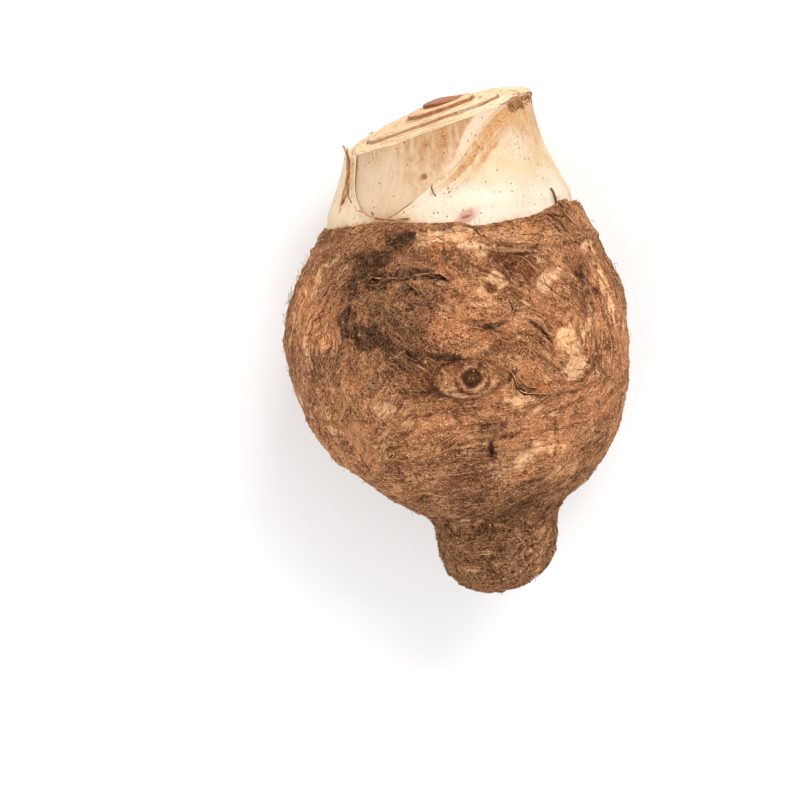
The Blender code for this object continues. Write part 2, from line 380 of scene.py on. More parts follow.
def sample(field, r, c):
    """Reads a skin field between its rows and columns; the columns wrap round."""
    rows, columns = field.shape[:2]
    r = np.clip(r, 0, rows - 1.001)
    r0, c0 = np.floor(r).astype(int), np.floor(c).astype(int)
    fr, fc = r - r0, c - c0
    c0, c1 = c0 % columns, (c0 + 1) % columns
    if field.ndim == 3:
        fr, fc = fr[..., None], fc[..., None]
    return ((field[r0, c0] * (1 - fc) + field[r0, c1] * fc) * (1 - fr)
            + (field[r0 + 1, c0] * (1 - fc) + field[r0 + 1, c1] * fc) * fr)


EYE_BUD = (-8.4, 87.2)      # the open eye-like bud in the middle of the root
TOP_BUD = (20.2, 77.0)      # the dried bud above it
KNOT = (-13.5, 70.0)        # the swirl of bark to the right of the eye bud
SWIRLS = ((EYE_BUD, 8.0, 3.0), (TOP_BUD, 6.5, 1.5), (KNOT, 5.0, 3.0))  # place, reach, pull on the grain
SCARRED_BUDS = ((6.0, 215.0), (-30.0, 330.0), (26.0, 292.0), (-12.0, 262.0), (-38.0, 185.0))
GRAIN = (  # direction of the bark's fibres: along, degrees round, lean from the axis towards the right
    (41, 165, 78), (40, 120, 80), (40, 90, 84), (40, 60, 78), (41, 30, 60), (26, 165, 14), (12, 165, 12),
    (24, 145, 16), (8, 142, 14), (-8, 128, 25), (-18, 134, 48), (-26, 118, 68), (-14, 116, 62),
    (34, 118, 40), (22, 118, -65), (24, 104, -40), (10, 116, 20), (6, 104, -60), (32, 95, 0), (26, 86, -35),
    (12, 92, -52), (4, 96, -55), (14, 74, 62), (27, 66, -38), (8, 64, -40), (20, 52, -20), (14, 42, -32),
    (24, 34, -30), (4, 56, -42), (0, 74, -50), (2, 36, -12), (-8, 26, -8), (-2, 84, -60), (-3, 104, -62),
    (-15, 100, 78), (-20, 84, 80), (-22, 66, 82), (-20, 48, 74), (-20, 28, 60), (-30, 88, 84),
    (-32, 66, 88), (-34, 44, 70), (-34, 24, 50), (-42, 84, 80), (-42, 60, 76), (-44, 36, 56), (-50, 20, 40),
    (-52, 60, 62), (-54, 88, 76), (-60, 70, 70), (-66, 40, 50), (-75, 80, 80), (-80, 40, 20), (20, 200, 10),
    (0, 220, -38), (-22, 240, 78), (12, 270, -42), (32, 300, 76), (2, 320, 34), (-28, 335, 72),
    (-46, 270, 60), (38, 220, 80), (-14, 170, 40), (-40, 160, 66), (18, 350, -16))


def grain_direction(skin):
    """Lean of the bark's fibres at every point of the skin, swirling round the buds."""
    radius = np.interp([g[0] for g in GRAIN], skin.along[FOOT_ROWS:, 0], skin.radius[FOOT_ROWS:, 0])
    c, s = np.zeros_like(skin.along), np.zeros_like(skin.along)
    for (along, degrees, lean), r in zip(GRAIN, radius):
        turn = math.radians(degrees)
        spot = np.array([r * math.cos(turn), along, r * math.sin(turn)])
        weight = np.exp(-(np.sum((skin.base - spot) ** 2, -1) / 11.0**2)) + 1e-6
        c += weight * math.cos(2 * math.radians(lean))
        s += weight * math.sin(2 * math.radians(lean))
    wander = np.radians(34.0) * lumps(skin.base, 11.0, 301, 3)
    for spot, reach, pull in SWIRLS:
        right, up = skin.from_spot(*spot)
        near = pull * hump(np.hypot(right, up), reach) * np.hypot(c, s)
        around = np.arctan2(right, up) + math.pi / 2
        c, s = c + near * np.cos(2 * around), s + near * np.sin(2 * around)
    return 0.5 * np.arctan2(s, c) + wander * (1 + 1.2 * skin.tangle)


def streaks(skin, length, seed, coarse=False):
    """Random values drawn out along the grain, so that they read as fibres; about -1 to 1."""
    rows, columns = skin.along.shape
    values = np.random.default_rng(seed).standard_normal((rows, columns))
    if coarse:
        values = 0.5 * values + 0.25 * (np.roll(values, 1, 1) + np.roll(values, 1, 0))
    total, count = values.copy(), 1
    for way in (1.0, -1.0):
        r, c = np.meshgrid(np.arange(rows, dtype=float), np.arange(columns, dtype=float), indexing="ij")
        lean = skin.grain
        for _ in range(int(length / STREAK_STEP)):
            here = skin.nearest(r, c)
            lean = onward(skin.grain[here], lean)
            r, c = skin.step(r, c, here, lean, way * STREAK_STEP)
            r = np.clip(r, 0, rows - 1.001)
            total += sample(values, r, c)
            count += 1
    total = total / math.sqrt(count)
    return np.clip(total / total.std() * 0.5, -1.3, 1.3)


# Patches of the bark: along, degrees round, wide, tall, rise of the wide way to the right, strength.
PALE_PATCHES = (
    (20.5, 55, 5.6, 2.5, 28, 1), (22, 50, 3.4, 1.6, 45, 0.7), (17, 57, 2.6, 1.8, 0, 0.6),
    (1, 53, 5, 3.8, 15, 1), (-2.5, 48.5, 4.2, 3.2, 0, 0.95), (-9.5, 50, 6.6, 4.6, 10, 1),
    (2.5, 42, 4.6, 1.3, 40, 0.8), (6, 37, 3, 1, 45, 0.6), (30, 28, 4.4, 1.6, 20, 1),
    (28.2, 24, 1.8, 3, 10, 0.7), (14, 27, 2.6, 4, 10, 0.95), (7, 22, 2.2, 6, 12, 0.95),
    (20, 24, 2, 5, 14, 0.8), (-2, 19, 1.2, 5, 8, 0.6), (-12, 18, 1.3, 5, 0, 0.6),
    (32.6, 70, 12.5, 0.8, -9, 1), (35, 83, 3.6, 1.5, 0, 1), (33, 79, 4, 2.4, -20, 0.85),
    (29.5, 81, 2, 2, 0, 0.6), (15.4, 78.5, 5.2, 1.3, -6, 0.95), (39.3, 88, 5.8, 2.6, 0, 1),
    (40.2, 101, 3.6, 1.5, 0, 0.85), (-18.5, 72.5, 4.4, 2.8, 0, 0.85), (-13.5, 77.5, 1.8, 2.4, 0, 0.6),
    (-38.5, 72, 5.6, 3, 18, 0.75), (-34.5, 66, 3.4, 2.4, 0, 0.7), (-24.2, 60, 2.6, 0.8, 10, 0.9),
    (-21.5, 57.5, 2.2, 0.6, 30, 0.7), (2.6, 71.2, 2.6, 0.5, 18, 0.9), (26.8, 55.5, 1.8, 0.8, 0, 0.8),
    (-4.5, 71, 1.6, 1.8, 0, 0.55), (28, 150, 1.8, 7, 10, 0.72), (18, 156, 2.2, 8, 8, 0.7),
    (8, 149, 1.6, 8, 5, 0.72), (34, 146, 4.4, 1.2, 20, 0.8), (12, 163, 2.2, 7, 5, 0.66),
    (31, 137, 3, 3, 30, 0.6), (38, 93, 9, 1.3, 2, 0.85), (36.3, 68, 10.5, 2.5, -6, 0.55),
    (39.6, 62, 6, 1, 6, 0.6), (28.5, 30.5, 2.4, 2, 20, 0.7), (8, 40, 2.4, 3.6, -20, 0.55),
    (-22, 42, 4, 2.4, 10, 0.55), (-36, 60, 4.6, 2.6, -10, 0.62), (-44, 50, 5.6, 2, 20, 0.6),
    (-41.5, 85, 4, 2.6, 10, 0.6), (-15, 34, 3.4, 1, 40, 0.62), (-31.5, 40, 1.2, 4, 10, 0.6),
    (13.5, 64.5, 3, 1, -30, 0.6), (5, 200, 6, 4, 30, 0.9), (-20, 230, 7, 4.5, -20, 0.8),
    (18, 250, 6, 3.5, 10, 1), (-5, 300, 5.5, 5, 40, 1), (24, 340, 6, 3, -15, 0.9),
    (-28, 350, 5, 3.5, 20, 0.8), (-36, 270, 6, 4, 0, 0.7), (-14, 170, 5, 3, 15, 0.8),
    (8, 268, 4, 5, 0, 0.7), (-2, 8, 2, 5, 10, 0.9), (32, 240, 7, 1, 3, 0.9), (30, 205, 6, 2.4, 10, 0.8),
    (-16, 120, 5, 3, 0, 0.7), (-30, 128, 4, 3, 20, 0.6), (-24, 150, 5, 2, 0, 0.8))
RUST_PATCHES = (
    (-44.5, 72, 7.5, 2.4, 14, 1), (-27.5, 33, 5.5, 1.4, 20, 1), (-24, 31, 2.6, 3.4, 0, 0.7),
    (9.5, 93, 7, 3.4, 0, 1), (6.5, 84, 6, 2.6, -12, 0.8), (33.5, 95, 4.6, 3.4, 0, 0.9),
    (14.8, 77, 6, 2.2, -6, 1), (-8, 67, 6, 3.6, -10, 0.75), (-14.5, 78, 4, 2.6, 20, 0.8),
    (-14, 63, 5.6, 2, 8, 0.85), (-29.5, 74, 7, 2.4, 4, 0.6), (-38, 61, 3, 2.6, 0, 0.7),
    (26, 158, 5, 12, 15, 0.9), (14, 152, 6, 7, 15, 0.7), (36, 148, 7, 2, 10, 0.9), (30, 104, 5, 2, 0, 0.6),
    (-31, 82, 1.2, 1.2, 0, 1), (12, 56, 2.4, 4.4, -30, 0.75), (-26, 22, 2, 5, 0, 0.8),
    (-40.5, 47, 3.6, 2.2, 0, 0.7), (44.6, 115, 6, 1, 0, 0.8), (-10, 320, 9, 6, 0, 0.8),
    (10, 230, 9, 5, 10, 0.9), (-26, 205, 8, 6, 0, 0.8), (20, 275, 10, 5, 0, 0.9), (0, 345, 5, 7, 10, 0.8),
    (-12, 140, 7, 5, 0, 0.8))
PLUM_PATCHES = (
    (28, 67, 9.5, 5.6, -6, 1), (23, 62, 7.5, 5, 0, 1), (23.5, 38, 7.5, 6, 0, 1), (10, 40, 5, 9, 0, 0.7),
    (6.5, 81.5, 3, 2.2, 0, 0.9), (41.5, 165, 15, 3.4, 4, 1), (41, 40, 14, 4, 6, 0.6), (1, 76, 3.6, 3, 0, 1),
    (-26, 47, 8, 3, 14, 0.5), (16, 133, 3, 7, 5, 0.9), (-5, 97, 9, 3, -8, 0.6), (-18, 90, 9, 4, 0, 0.6),
    (40, 200, 20, 4, 0, 0.8), (26, 225, 9, 6, 0, 0.8), (-8, 280, 7, 8, 0, 0.7), (8, 340, 5, 8, 0, 0.7))
# Broad soft places where the whole bark is darker, or lighter where the strength is below zero: partly the
# bark's own tone, partly painted shadow over the eye bud, the neck and the lower left, and painted light on
# the root's right and left sides.
TONE_SHADE_AND_LIGHT_PATCHES = (
    (39, 118, 12, 5, 0, 0.8), (27.5, 67, 10, 5.5, -8, 0.7), (-8, 90, 13, 8, 0, 1), (2, 70, 8, 6, 0, 0.45),
    (-8, 102, 13, 9, -20, 1), (3, 74, 10, 5, -20, 0.4), (-57, 78, 22, 7, 10, 0.8),
    (-66, 95, 10, 14, 0, 0.8), (-44, 96, 10, 14, 0, 0.7), (-38, 60, 13, 7, 10, -0.3),
    (-20, 64, 12, 5, 10, 0.35), (22, 112, 14, 10, -20, 0.35), (-50, 50, 12, 4, 20, 0.35),
    (18, 96, 7, 6, 0, 0.4), (18, 43, 5, 7, -20, 0.3), (40, 150, 10, 4, 0, 0.5), (14, 138, 7, 9, 0, -0.9),
    (27, 135, 6, 6, 0, -0.5), (36, 86, 11, 4, 0, -0.5), (2, 47, 9, 12, 0, -0.35), (10, 20, 5, 18, 0, -0.4),
    (-72, 60, 8, 10, 0, -0.3), (20, 154, 6, 14, 0, -0.6), (12, 146, 7, 8, 0, -0.6),
    (12, 28, 9, 16, 0, -0.6), (-24, 38, 10, 9, 0, -0.4), (38, 60, 12, 4, 0, -0.4), (28, 66, 9, 5, -8, 0.85),
    (14, 141, 5, 7, 0, -0.8), (2, 46, 7, 9, 0, -0.4), (-60, 80, 18, 7, 0, 0.85), (-72, 84, 14, 12, 0, 0.35),
    (10, 285, 18, 14, 0, 0.8), (-10, 330, 18, 9, 0, 0.6), (-30, 210, 18, 9, 0, 0.6),
    (20, 200, 12, 14, 0, -0.7), (-15, 250, 14, 10, 0, -0.6), (25, 335, 12, 8, 0, -0.6),
    (22, 38, 7, 6, 0, 0.4), (21.5, 63, 7, 4.5, 0, 0.4), (29, 70, 6, 4, 0, 0.8), (29.5, 85, 7.5, 4, 0, 0.7))
PAPER_PATCHES = (
    (14.8, 78, 10, 4.6, -6, 1), (27, 66, 10, 5.4, -8, 1), (33.5, 95, 6, 3.6, 0, 0.9),
    (9.5, 94, 8, 4, 0, 0.9), (40.5, 30, 26, 4.6, 8, 1), (41, 165, 16, 4, 4, 1), (-8, 66, 8, 4, -10, 0.8),
    (-27, 76, 9, 5, 4, 0.7), (-34, 50, 7, 7, 10, 0.7), (8, 55, 5, 7, 0, 0.8), (-44, 70, 8, 3, 10, 0.8),
    (24, 50, 6, 5, 0, 0.7))
HAIR_PATCHES = (
    (24, 117, 19, 14.5, -20, 1), (6.5, 110, 10.5, 7.5, -35, 1), (10, 285, 18, 11, 20, 0.9))
# Dark patches in the matted root hair: partly the mat's own dark brown, partly painted shade in its
# crevices.
DARK_MAT_AND_SHADE_PATCHES = (
    (30, 127, 7.5, 6, 10, 1), (33.5, 119, 6, 3.2, 25, 0.9), (38.6, 110.5, 5.4, 2.8, 10, 0.9),
    (27, 119, 6, 3.4, 0, 0.9), (28.4, 108, 8.4, 1.3, -3, 0.95), (22.6, 104, 5, 1.4, -35, 0.85),
    (20.5, 128, 3, 10, 3, 0.9), (11, 124.5, 5, 3.4, 10, 0.9), (7.5, 117, 8.4, 4, -12, 0.95),
    (11.5, 109, 6.4, 3, -30, 0.8), (17, 99, 5, 3, 0, 0.55), (2, 105, 8.4, 2.8, -30, 0.8),
    (31.5, 92.5, 1.6, 3.6, 10, 0.6), (8, 78.5, 5, 1.3, 10, 0.8), (25.5, 92.5, 3.4, 1, -20, 0.6),
    (16.5, 95, 6, 1.4, -10, 0.5), (-0.5, 95, 8.6, 1.6, -14, 0.85), (13.8, 71, 1.4, 3.4, 20, 0.6),
    (-9.6, 74.6, 1.5, 3.8, -32, 0.8), (-14.4, 70.6, 3.4, 1.3, -30, 0.75), (0, 80, 4.6, 1.5, 14, 0.65),
    (-12.5, 95, 8, 1.6, -10, 0.6), (-34.5, 84.8, 1.3, 4, 0, 0.7), (-54.5, 62, 14, 2.4, 22, 0.55),
    (-50, 40, 7, 1.8, 30, 0.45), (-59, 84, 12, 2.6, 6, 0.45), (-30, 88, 3, 5, 0, 0.5),
    (32, 101, 4, 1.4, -20, 0.6), (20, 38.5, 2.6, 4.4, -40, 0.7), (16, 63, 4, 1.6, -20, 0.5),
    (10, 47, 3, 5, -20, 0.4), (10, 285, 16, 10, 20, 0.9), (-2, 275, 8, 4, 0, 0.8),
    (-30, 240, 8, 3, 10, 0.7), (22, 190, 6, 3, 0, 0.6), (-54, 200, 14, 2.5, 10, 0.8),
    (-52, 300, 12, 2.5, -10, 0.8))
CRACKS = (  # width, depth, path
    (1.5, 1.5, ((-30.8, 84.6), (-33.5, 85.2), (-37.8, 86))), (0.5, 0.5, ((-27, 70.2), (-36, 70))),
    (0.5, 0.5, ((-25, 59.6), (-34, 59.4), (-44, 58.5))), (0.4, 0.4, ((-28, 58.2), (-38, 58))),
    (1.1, 1.1, ((22.6, 42.2), (18.6, 39), (16.4, 35.6))), (0.6, 0.6, ((16, 35), (13.6, 31.4), (12.4, 30))),
    (0.9, 0.9, ((8.8, 66.5), (5, 62), (1, 59.2), (-1.2, 58.2))), (0.5, 0.5, ((20.5, 58), (16.5, 53))),
    (1.5, 1.3, ((29, 124), (27, 117), (26.6, 108), (26.8, 100), (25.4, 93.5), (23.8, 90.5))),
    (1.2, 1, ((26.6, 111), (24.2, 105.5), (20.6, 101))), (0.9, 0.8, ((15.5, 71.5), (12, 70), (10, 70.8))),
    (0.9, 0.8, ((-6.5, 76), (-10, 73.2), (-13.6, 72.4), (-16.2, 69.6), (-17, 65.5), (-17.4, 60))),
    (0.6, 0.6, ((-8.5, 72.6), (-11.6, 71.2), (-14, 69), (-14.8, 66.4))),
    (0.5, 0.5, ((-10.6, 70.2), (-12.8, 68.6))), (0.6, 0.5, ((-17.4, 60), (-18, 50), (-16, 40))),
    (0.6, 0.6, ((41, 45), (38, 42), (35, 40.6))), (0.5, 0.5, ((-46.5, 76), (-47.6, 70), (-47, 64))),
    (0.6, 0.5, ((-54, 56), (-50, 40), (-46, 30))), (0.5, 0.4, ((41.4, 118), (41.4, 104), (41.6, 92))),
    (0.4, 0.3, ((30.4, 72), (29.6, 60), (30.4, 52))), (0.5, 0.5, ((-56, 62), (-53, 46), (-49, 34))),
    (0.7, 0.7, ((10, 130), (8, 122))), (0.9, 0.9, ((10, 190), (2, 196), (-8, 197))),
    (0.8, 0.8, ((-20, 300), (-34, 303))), (0.9, 0.8, ((25, 320), (16, 327), (8, 326))),
    (0.8, 0.8, ((0, 240), (-12, 236))), (0.8, 0.7, ((22, 215), (20, 228), (21, 240))),
    (0.7, 0.7, ((-36, 225), (-50, 228))))
RINGS = (  # along, slope across, waviness, lip, share of the turn that is there
    (34.6, -0.055, 1.1, 0.5, 0.9), (24, -0.05, 1.6, 0.3, 0.4), (12, 0.05, 2, 0.3, 0.4),
    (-2, 0.02, 2.4, 0.3, 0.35), (-17.5, 0.03, 2.2, 0.45, 0.55), (-27, -0.02, 1.5, 0.3, 0.4),
    (-36, -0.04, 1.6, 0.4, 0.45), (-47.5, 0.03, 1.2, 0.4, 0.5), (-53.5, 0.02, 1, 0.35, 0.5))


def shape_skin(skin):
    """Raises the bark's relief and works out the marks that its colours follow."""
    p, along = skin.base, skin.along
    foot = ease(-55.0, -63.0, along)
    open_bark = 1 - foot
    skin.tangle = skin.patches(HAIR_PATCHES, 61)
    skin.grain = grain_direction(skin)
    free_bark = 1 - skin.tangle
    long_fibres, short_fibres = streaks(skin, 9.0, 71), streaks(skin, 4.0, 72)
    broad_fibres = streaks(skin, 9.0, 73, coarse=True)
    band = ease(35.0, 37.0, along + 0.055 * p[..., 0] + 1.1 * lumps(p, 15.0, 40, 3))
    grit = np.random.default_rng(74).standard_normal(along.shape).clip(-2, 2) * 0.5
    grit = grit - 0.25 * sum(np.roll(grit, way, axis) for axis in (0, 1) for way in (1, -1))

    skin.raise_by(0.55 * lumps(p, 22.0, 1, 2) + 0.42 * lumps(p, 7.0, 2, 2))
    fibres = 0.10 * long_fibres + 0.08 * short_fibres + 0.16 * broad_fibres
    skin.raise_by(fibres * (open_bark + 0.3 * foot))
    grain = lumps(p, 2.3, 12, 3, 0.75)
    crumbly = (0.80 * grain + 0.35 * lumps(p, 1.3, 13, 2, 0.8)) * foot
    skin.raise_by(crumbly + 0.10 * grain * open_bark + 0.80 * grain * skin.tangle + 0.09 * grit)
    plates = lumps(p, 8.0, 14, 4, 0.64) + 0.22 * broad_fibres
    steps = 0.20 * ease(0.02, 0.09, plates) + 0.16 * ease(0.40, 0.46, plates)
    skin.raise_by(steps * open_bark * (1 - 0.5 * band))
    flake_edge = hump(plates - 0.05, 0.05) + hump(plates - 0.43, 0.045)
    ring_dark = shape_rings(skin)

    paper_edge = lumps(p, 13.0, 27, 4, 0.58) + 0.10 * broad_fibres
    paper = np.maximum(ease(-0.08, 0.0, paper_edge), skin.patches(PAPER_PATCHES, 310, 0.45, 0.15))
    paper = paper * free_bark * open_bark
    skin.raise_by(0.16 * paper)
    paper_line = hump(paper_edge + 0.04, 0.035) * free_bark * (1 - band)
    worn = ease(0.30, 0.62, lumps(p, 6.0, 23, 4, 0.7)) * open_bark * free_bark
    flesh = np.maximum(skin.patches(PALE_PATCHES, 80, 0.75), worn * 0.55)
    # The mat's dark patches: partly its own dark brown, partly painted shade in its crevices.
    mat_and_shade = skin.patches(DARK_MAT_AND_SHADE_PATCHES, 210, 0.80, 0.55)
    mat_and_shade = mat_and_shade * (1 - 0.75 * skin.tangle * ease(0.15, 0.75, lumps(p, 4.2, 37, 4, 0.75)))
    darker = skin.patches([t for t in TONE_SHADE_AND_LIGHT_PATCHES if t[5] > 0], 270, 0.5, 0.6)
    lighter = skin.patches([(*t[:5], -t[5]) for t in TONE_SHADE_AND_LIGHT_PATCHES if t[5] < 0], 290, 0.5, 0.6)
    skin.raise_by(-0.40 * flesh + 0.12 * flesh * lumps(p, 1.6, 25, 2))

    dark = 0.75 * np.maximum(flake_edge, 0.7 * paper_line) * open_bark * (1 - 0.6 * flesh)
    dark = np.maximum(dark * ease(-0.2, 0.3, lumps(p, 9.0, 28, 2)), shape_cracks(skin))
    pits, pit_rim = root_scars(skin, foot)
    skin.raise_by(-0.55 * pits + 0.22 * pit_rim)
    buds = shape_buds(skin)
    keep = buds["keep"]
    skin.marks = {
        "flesh": np.maximum(flesh * keep, buds["flesh"]),
        "rust": np.maximum(skin.patches(RUST_PATCHES, 150, 0.45) * keep, buds["rust"]),
        "pit": np.maximum(np.maximum(dark, pits * 0.9) * keep, buds["dark"]),
        "tangle": mat_and_shade * keep,
        "plum": skin.patches(PLUM_PATCHES, 190, 0.4) * keep,
        "grey": foot * 0.9 + ease(-26.0, -48.0, along) * 0.55,
        "ring": ring_dark, "band": band, "paper": paper * keep, "hair": skin.tangle,
        "fibre": 0.5 + 0.5 * np.clip(0.55 * long_fibres + 0.45 * short_fibres + 0.35 * grit, -1, 1),
        "bark": 0.5 + 0.45 * lumps(p, 9.0, 29, 3, 0.6) + 0.22 * broad_fibres}
    skin.marks = {mark: np.clip(values, 0, 1) for mark, values in skin.marks.items()}
    # deep carries the broad tone patches: partly the bark's own darker and lighter tone, partly painted
    # shade and painted light.
    skin.marks["deep"] = (darker - lighter) * np.maximum(keep, 0.7)
    skin.marks["lean_cosine"], skin.marks["lean_sine"] = np.cos(2 * skin.grain), np.sin(2 * skin.grain)


def shape_rings(skin):
    """Raises the lips of the leaf-scar rings, and returns the dark lines under them."""
    p, ring_dark = skin.base, np.zeros_like(skin.along)
    for n, (place, slope, wave, lip, share) in enumerate(RINGS):
        d = skin.along - (place + slope * p[..., 0] + wave * lumps(p, 15.0, 40 + n, 3))
        there = ease(-0.1, 0.25, lumps(p * (1, 0, 1), 20.0, 60 + n, 2) + 2.2 * share - 1.2)
        skin.raise_by(there * lip * (ease(-0.5, 0.3, d) * ease(3.5, 0.3, d) - 0.45 * hump(d + 0.9, 0.7)))
        ring_dark = np.maximum(ring_dark, there * hump(d + 0.8, 0.6) * min(1.0, lip * 1.5))
    return ring_dark


def shape_cracks(skin):
    """Cuts the cracks with their raised lips, and returns how dark they are."""
    dark = np.zeros_like(skin.along)
    knotty = lumps(skin.base, 1.6, 36, 2)
    for n, (wide, deep, path) in enumerate(CRACKS):
        d, share = line_distance(skin, path)
        d = np.abs(d + 0.45 * lumps(skin.base, 2.0, 240 + n, 3, 0.7))
        body = np.sin(np.pi * np.clip(share, 0.04, 0.96)) ** 0.5
        cut = hump(d, wide * (0.55 + 0.25 * knotty)) * body
        skin.raise_by(-deep * cut + 0.35 * deep * hump(d - wide * 1.6, 0.6) * body)
        dark = np.maximum(dark, cut)
    return dark


def root_scars(skin, foot):
    """Small dark pits with raised rims where roots have come away."""
    draw = np.random.default_rng(11)
    pits, rims = np.zeros_like(skin.along), np.zeros_like(skin.along)
    rows, columns = skin.along.shape
    span = 6
    for _ in range(1150):
        r, c = int(draw.integers(6, rows - 3)), int(draw.integers(0, columns))
        crowd = 0.16 + 0.84 * foot[r, c] + 0.3 * skin.tangle[r, c]
        size = 0.45 + 0.6 * draw.random() ** 2
        if draw.random() > crowd * min(1.0, skin.radius[r, c] / 40.0 + 0.35):
            continue
        rr = slice(max(r - span, 0), min(r + span + 1, rows))
        cc = np.arange(c - span, c + span + 1) % columns
        d = np.linalg.norm(skin.base[rr][:, cc] - skin.base[r, c], axis=-1) / size
        pits[rr, cc] = np.maximum(pits[rr][:, cc], hump(d * 1.1))
        rims[rr, cc] = np.maximum(rims[rr][:, cc], hump((d - 1.7) * 1.8))
    return pits, rims * (1 - pits)


def shape_buds(skin):
    """Raises the buds and marks them; keep is where the bark's own marks still show."""
    marks = {k: np.zeros_like(skin.along) for k in ("flesh", "dark", "rust")}
    marks["keep"] = np.ones_like(skin.along)

    def mark(inside, **amounts):
        marks["keep"] = marks["keep"] * (1 - inside)
        for name, amount in amounts.items():
            marks[name] = np.maximum(marks[name], amount)

    eye_bud(skin, mark)
    dried_bud(skin, mark)
    for n, (along, degrees) in enumerate(SCARRED_BUDS):
        right, up = skin.from_spot(along, degrees)
        r = np.hypot(right / 1.25, up) + 0.4 * lumps(skin.base, 2.5, 35 + n, 2)
        skin.raise_by(0.8 * hump(r - 4.6, 0.8) + 1.2 * hump(r, 2.2) - 0.5 * hump(r - 3.0, 0.6))
        mark(0.8 * ease(6.0, 4.8, r), flesh=0.75 * hump(r - 4.2, 0.9), dark=0.8 * hump(r - 2.9, 0.7),
             rust=0.9 * hump(r, 2.0))
    return marks


def eye_bud(skin, mark):
    """The open bud like an eye: lids round it, a fold, and a knob in a dark hollow."""
    right, up = skin.from_spot(*EYE_BUD)
    wobble = 0.35 * lumps(skin.base, 3.0, 33, 2)
    r = np.hypot(right / 1.06, up) + wobble * 0.5
    oval = np.hypot((right + 1.5) / 9.6, (up + 0.1) / 5.6) + 0.05 * wobble
    inside = ease(1.15, 0.9, oval)
    lid, fold, knob = hump(oval - 1.0, 0.13), hump(r - 4.5, 0.55), hump(r, 1.6)
    second_fold = hump(r - 6.0, 0.5) * ease(-3.0, 2.0, right)
    pupil = ease(3.6, 2.9, r)
    skin.raise_by(0.9 * lid + 0.85 * fold + 0.5 * second_fold - 1.15 * pupil + 0.9 * knob
                  - 0.35 * inside * ease(3.3, 3.9, r) * ease(1.0, 0.7, oval))
    crescent = hump(r - 3.9, 0.62) * ease(0.2, -0.6, up / (r + 0.5) - 0.25 * right / (r + 0.5))
    scale_left = inside * ease(-4.0, -5.2, right) * ease(1.0, 0.8, oval)
    hollows = pupil * (1 - 0.35 * knob) + 0.55 * hump(oval - 1.22, 0.09) + 0.6 * hump(r - 5.3, 0.35) * inside
    mark(inside, flesh=1.4 * crescent + 0.8 * lid * ease(0.0, -2.0, up) + 0.6 * scale_left,
         dark=hollows, rust=scale_left * 0.9 + 0.5 * inside * fold)


def dried_bud(skin, mark):
    """The dried bud above the eye: a pale diamond with a rusty core."""
    right, up = skin.from_spot(*TOP_BUD)
    wobble = lumps(skin.base, 2.5, 34, 2)
    diamond = (np.abs(right - 0.35 * up) / 6.4 + np.abs(up - 0.2 * right) / 5.4) + 0.22 * wobble
    inside = ease(1.15, 0.80, diamond)
    core = ease(1.2, 0.5, np.abs(right + 0.2) / 3.6 + np.abs(up - 0.6) / 2.7 + 0.35 * wobble)
    skin.raise_by(0.65 * hump(diamond - 0.85, 0.25) - 0.5 * core)
    corner = ease(-2.0, 1.6, 0.5 * right + up + 1.5 * wobble)
    mark(inside, flesh=inside * (1 - core) * (0.68 + 0.32 * corner),
         rust=np.maximum(core * 0.95, 0.7 * inside * (1 - corner)), dark=core**2 * 0.55)


def close_top(skin):
    """Rows that turn the skin's edge in under the leaf bases and cross the hidden growing tip."""
    rim = skin.grid[-1]
    inward = unit(from_stem(np.zeros(AROUND), rim[:, 1], np.zeros(AROUND)) - rim)
    rows = [rim + inward * 0.45 + (0, 0.12, 0), rim + inward * 1.5 + (0, -0.1, 0)]
    for share, drop in ((0.95, 0.6), (0.6, 0.3), (0.25, 0.3)):
        r = RIM_RADIUS * share
        height = APEX_HEIGHT - (APEX_HEIGHT - RIM_HEIGHT) * share**2 - drop
        rows.append(from_stem(r * np.cos(skin.angles), np.full(AROUND, height), r * np.sin(skin.angles)))
    return np.array(rows)


def corm_skin(skin, material):
    """The whole brown skin, closed over the hidden growing tip."""
    shape_skin(skin)
    skin.grid = off_the_floor(skin.base + skin.normal * skin.height[..., None], SKIN_GAP)
    skin.grid_normal = surface_normals(skin.grid)
    hidden = close_top(skin)
    full = np.concatenate([skin.grid, hidden])
    points, triangles = capped_grid(full, full[0].mean(0), full[-1].mean(0) + (0, 0.1, 0))
    marks = {}
    for name, values in skin.marks.items():
        tail = np.repeat(values[-1:], len(hidden), 0)
        marks[name] = np.concatenate([np.concatenate([values, tail]).ravel(), [values[0].mean(), 0.0]])
    return mesh_piece("corm_skin", points, triangles, material, marks, ("corm",))


# ---------------------------------------------------------------- material helpers

class Wire:
    """A value on its way from one node to the next; +, - and * add the node that works the result out."""

    def __init__(self, bench, socket):
        self.bench = bench
        self.socket = socket

    def __add__(self, other):
        return self.bench.maths("ADD", self, other)

    def __sub__(self, other):
        return self.bench.maths("SUBTRACT", self, other)

    def __rsub__(self, other):
        return self.bench.maths("SUBTRACT", other, self)

    def __mul__(self, other):
        return self.bench.maths("MULTIPLY", self, other)

    def __abs__(self):
        return self.bench.maths("ABSOLUTE", self)


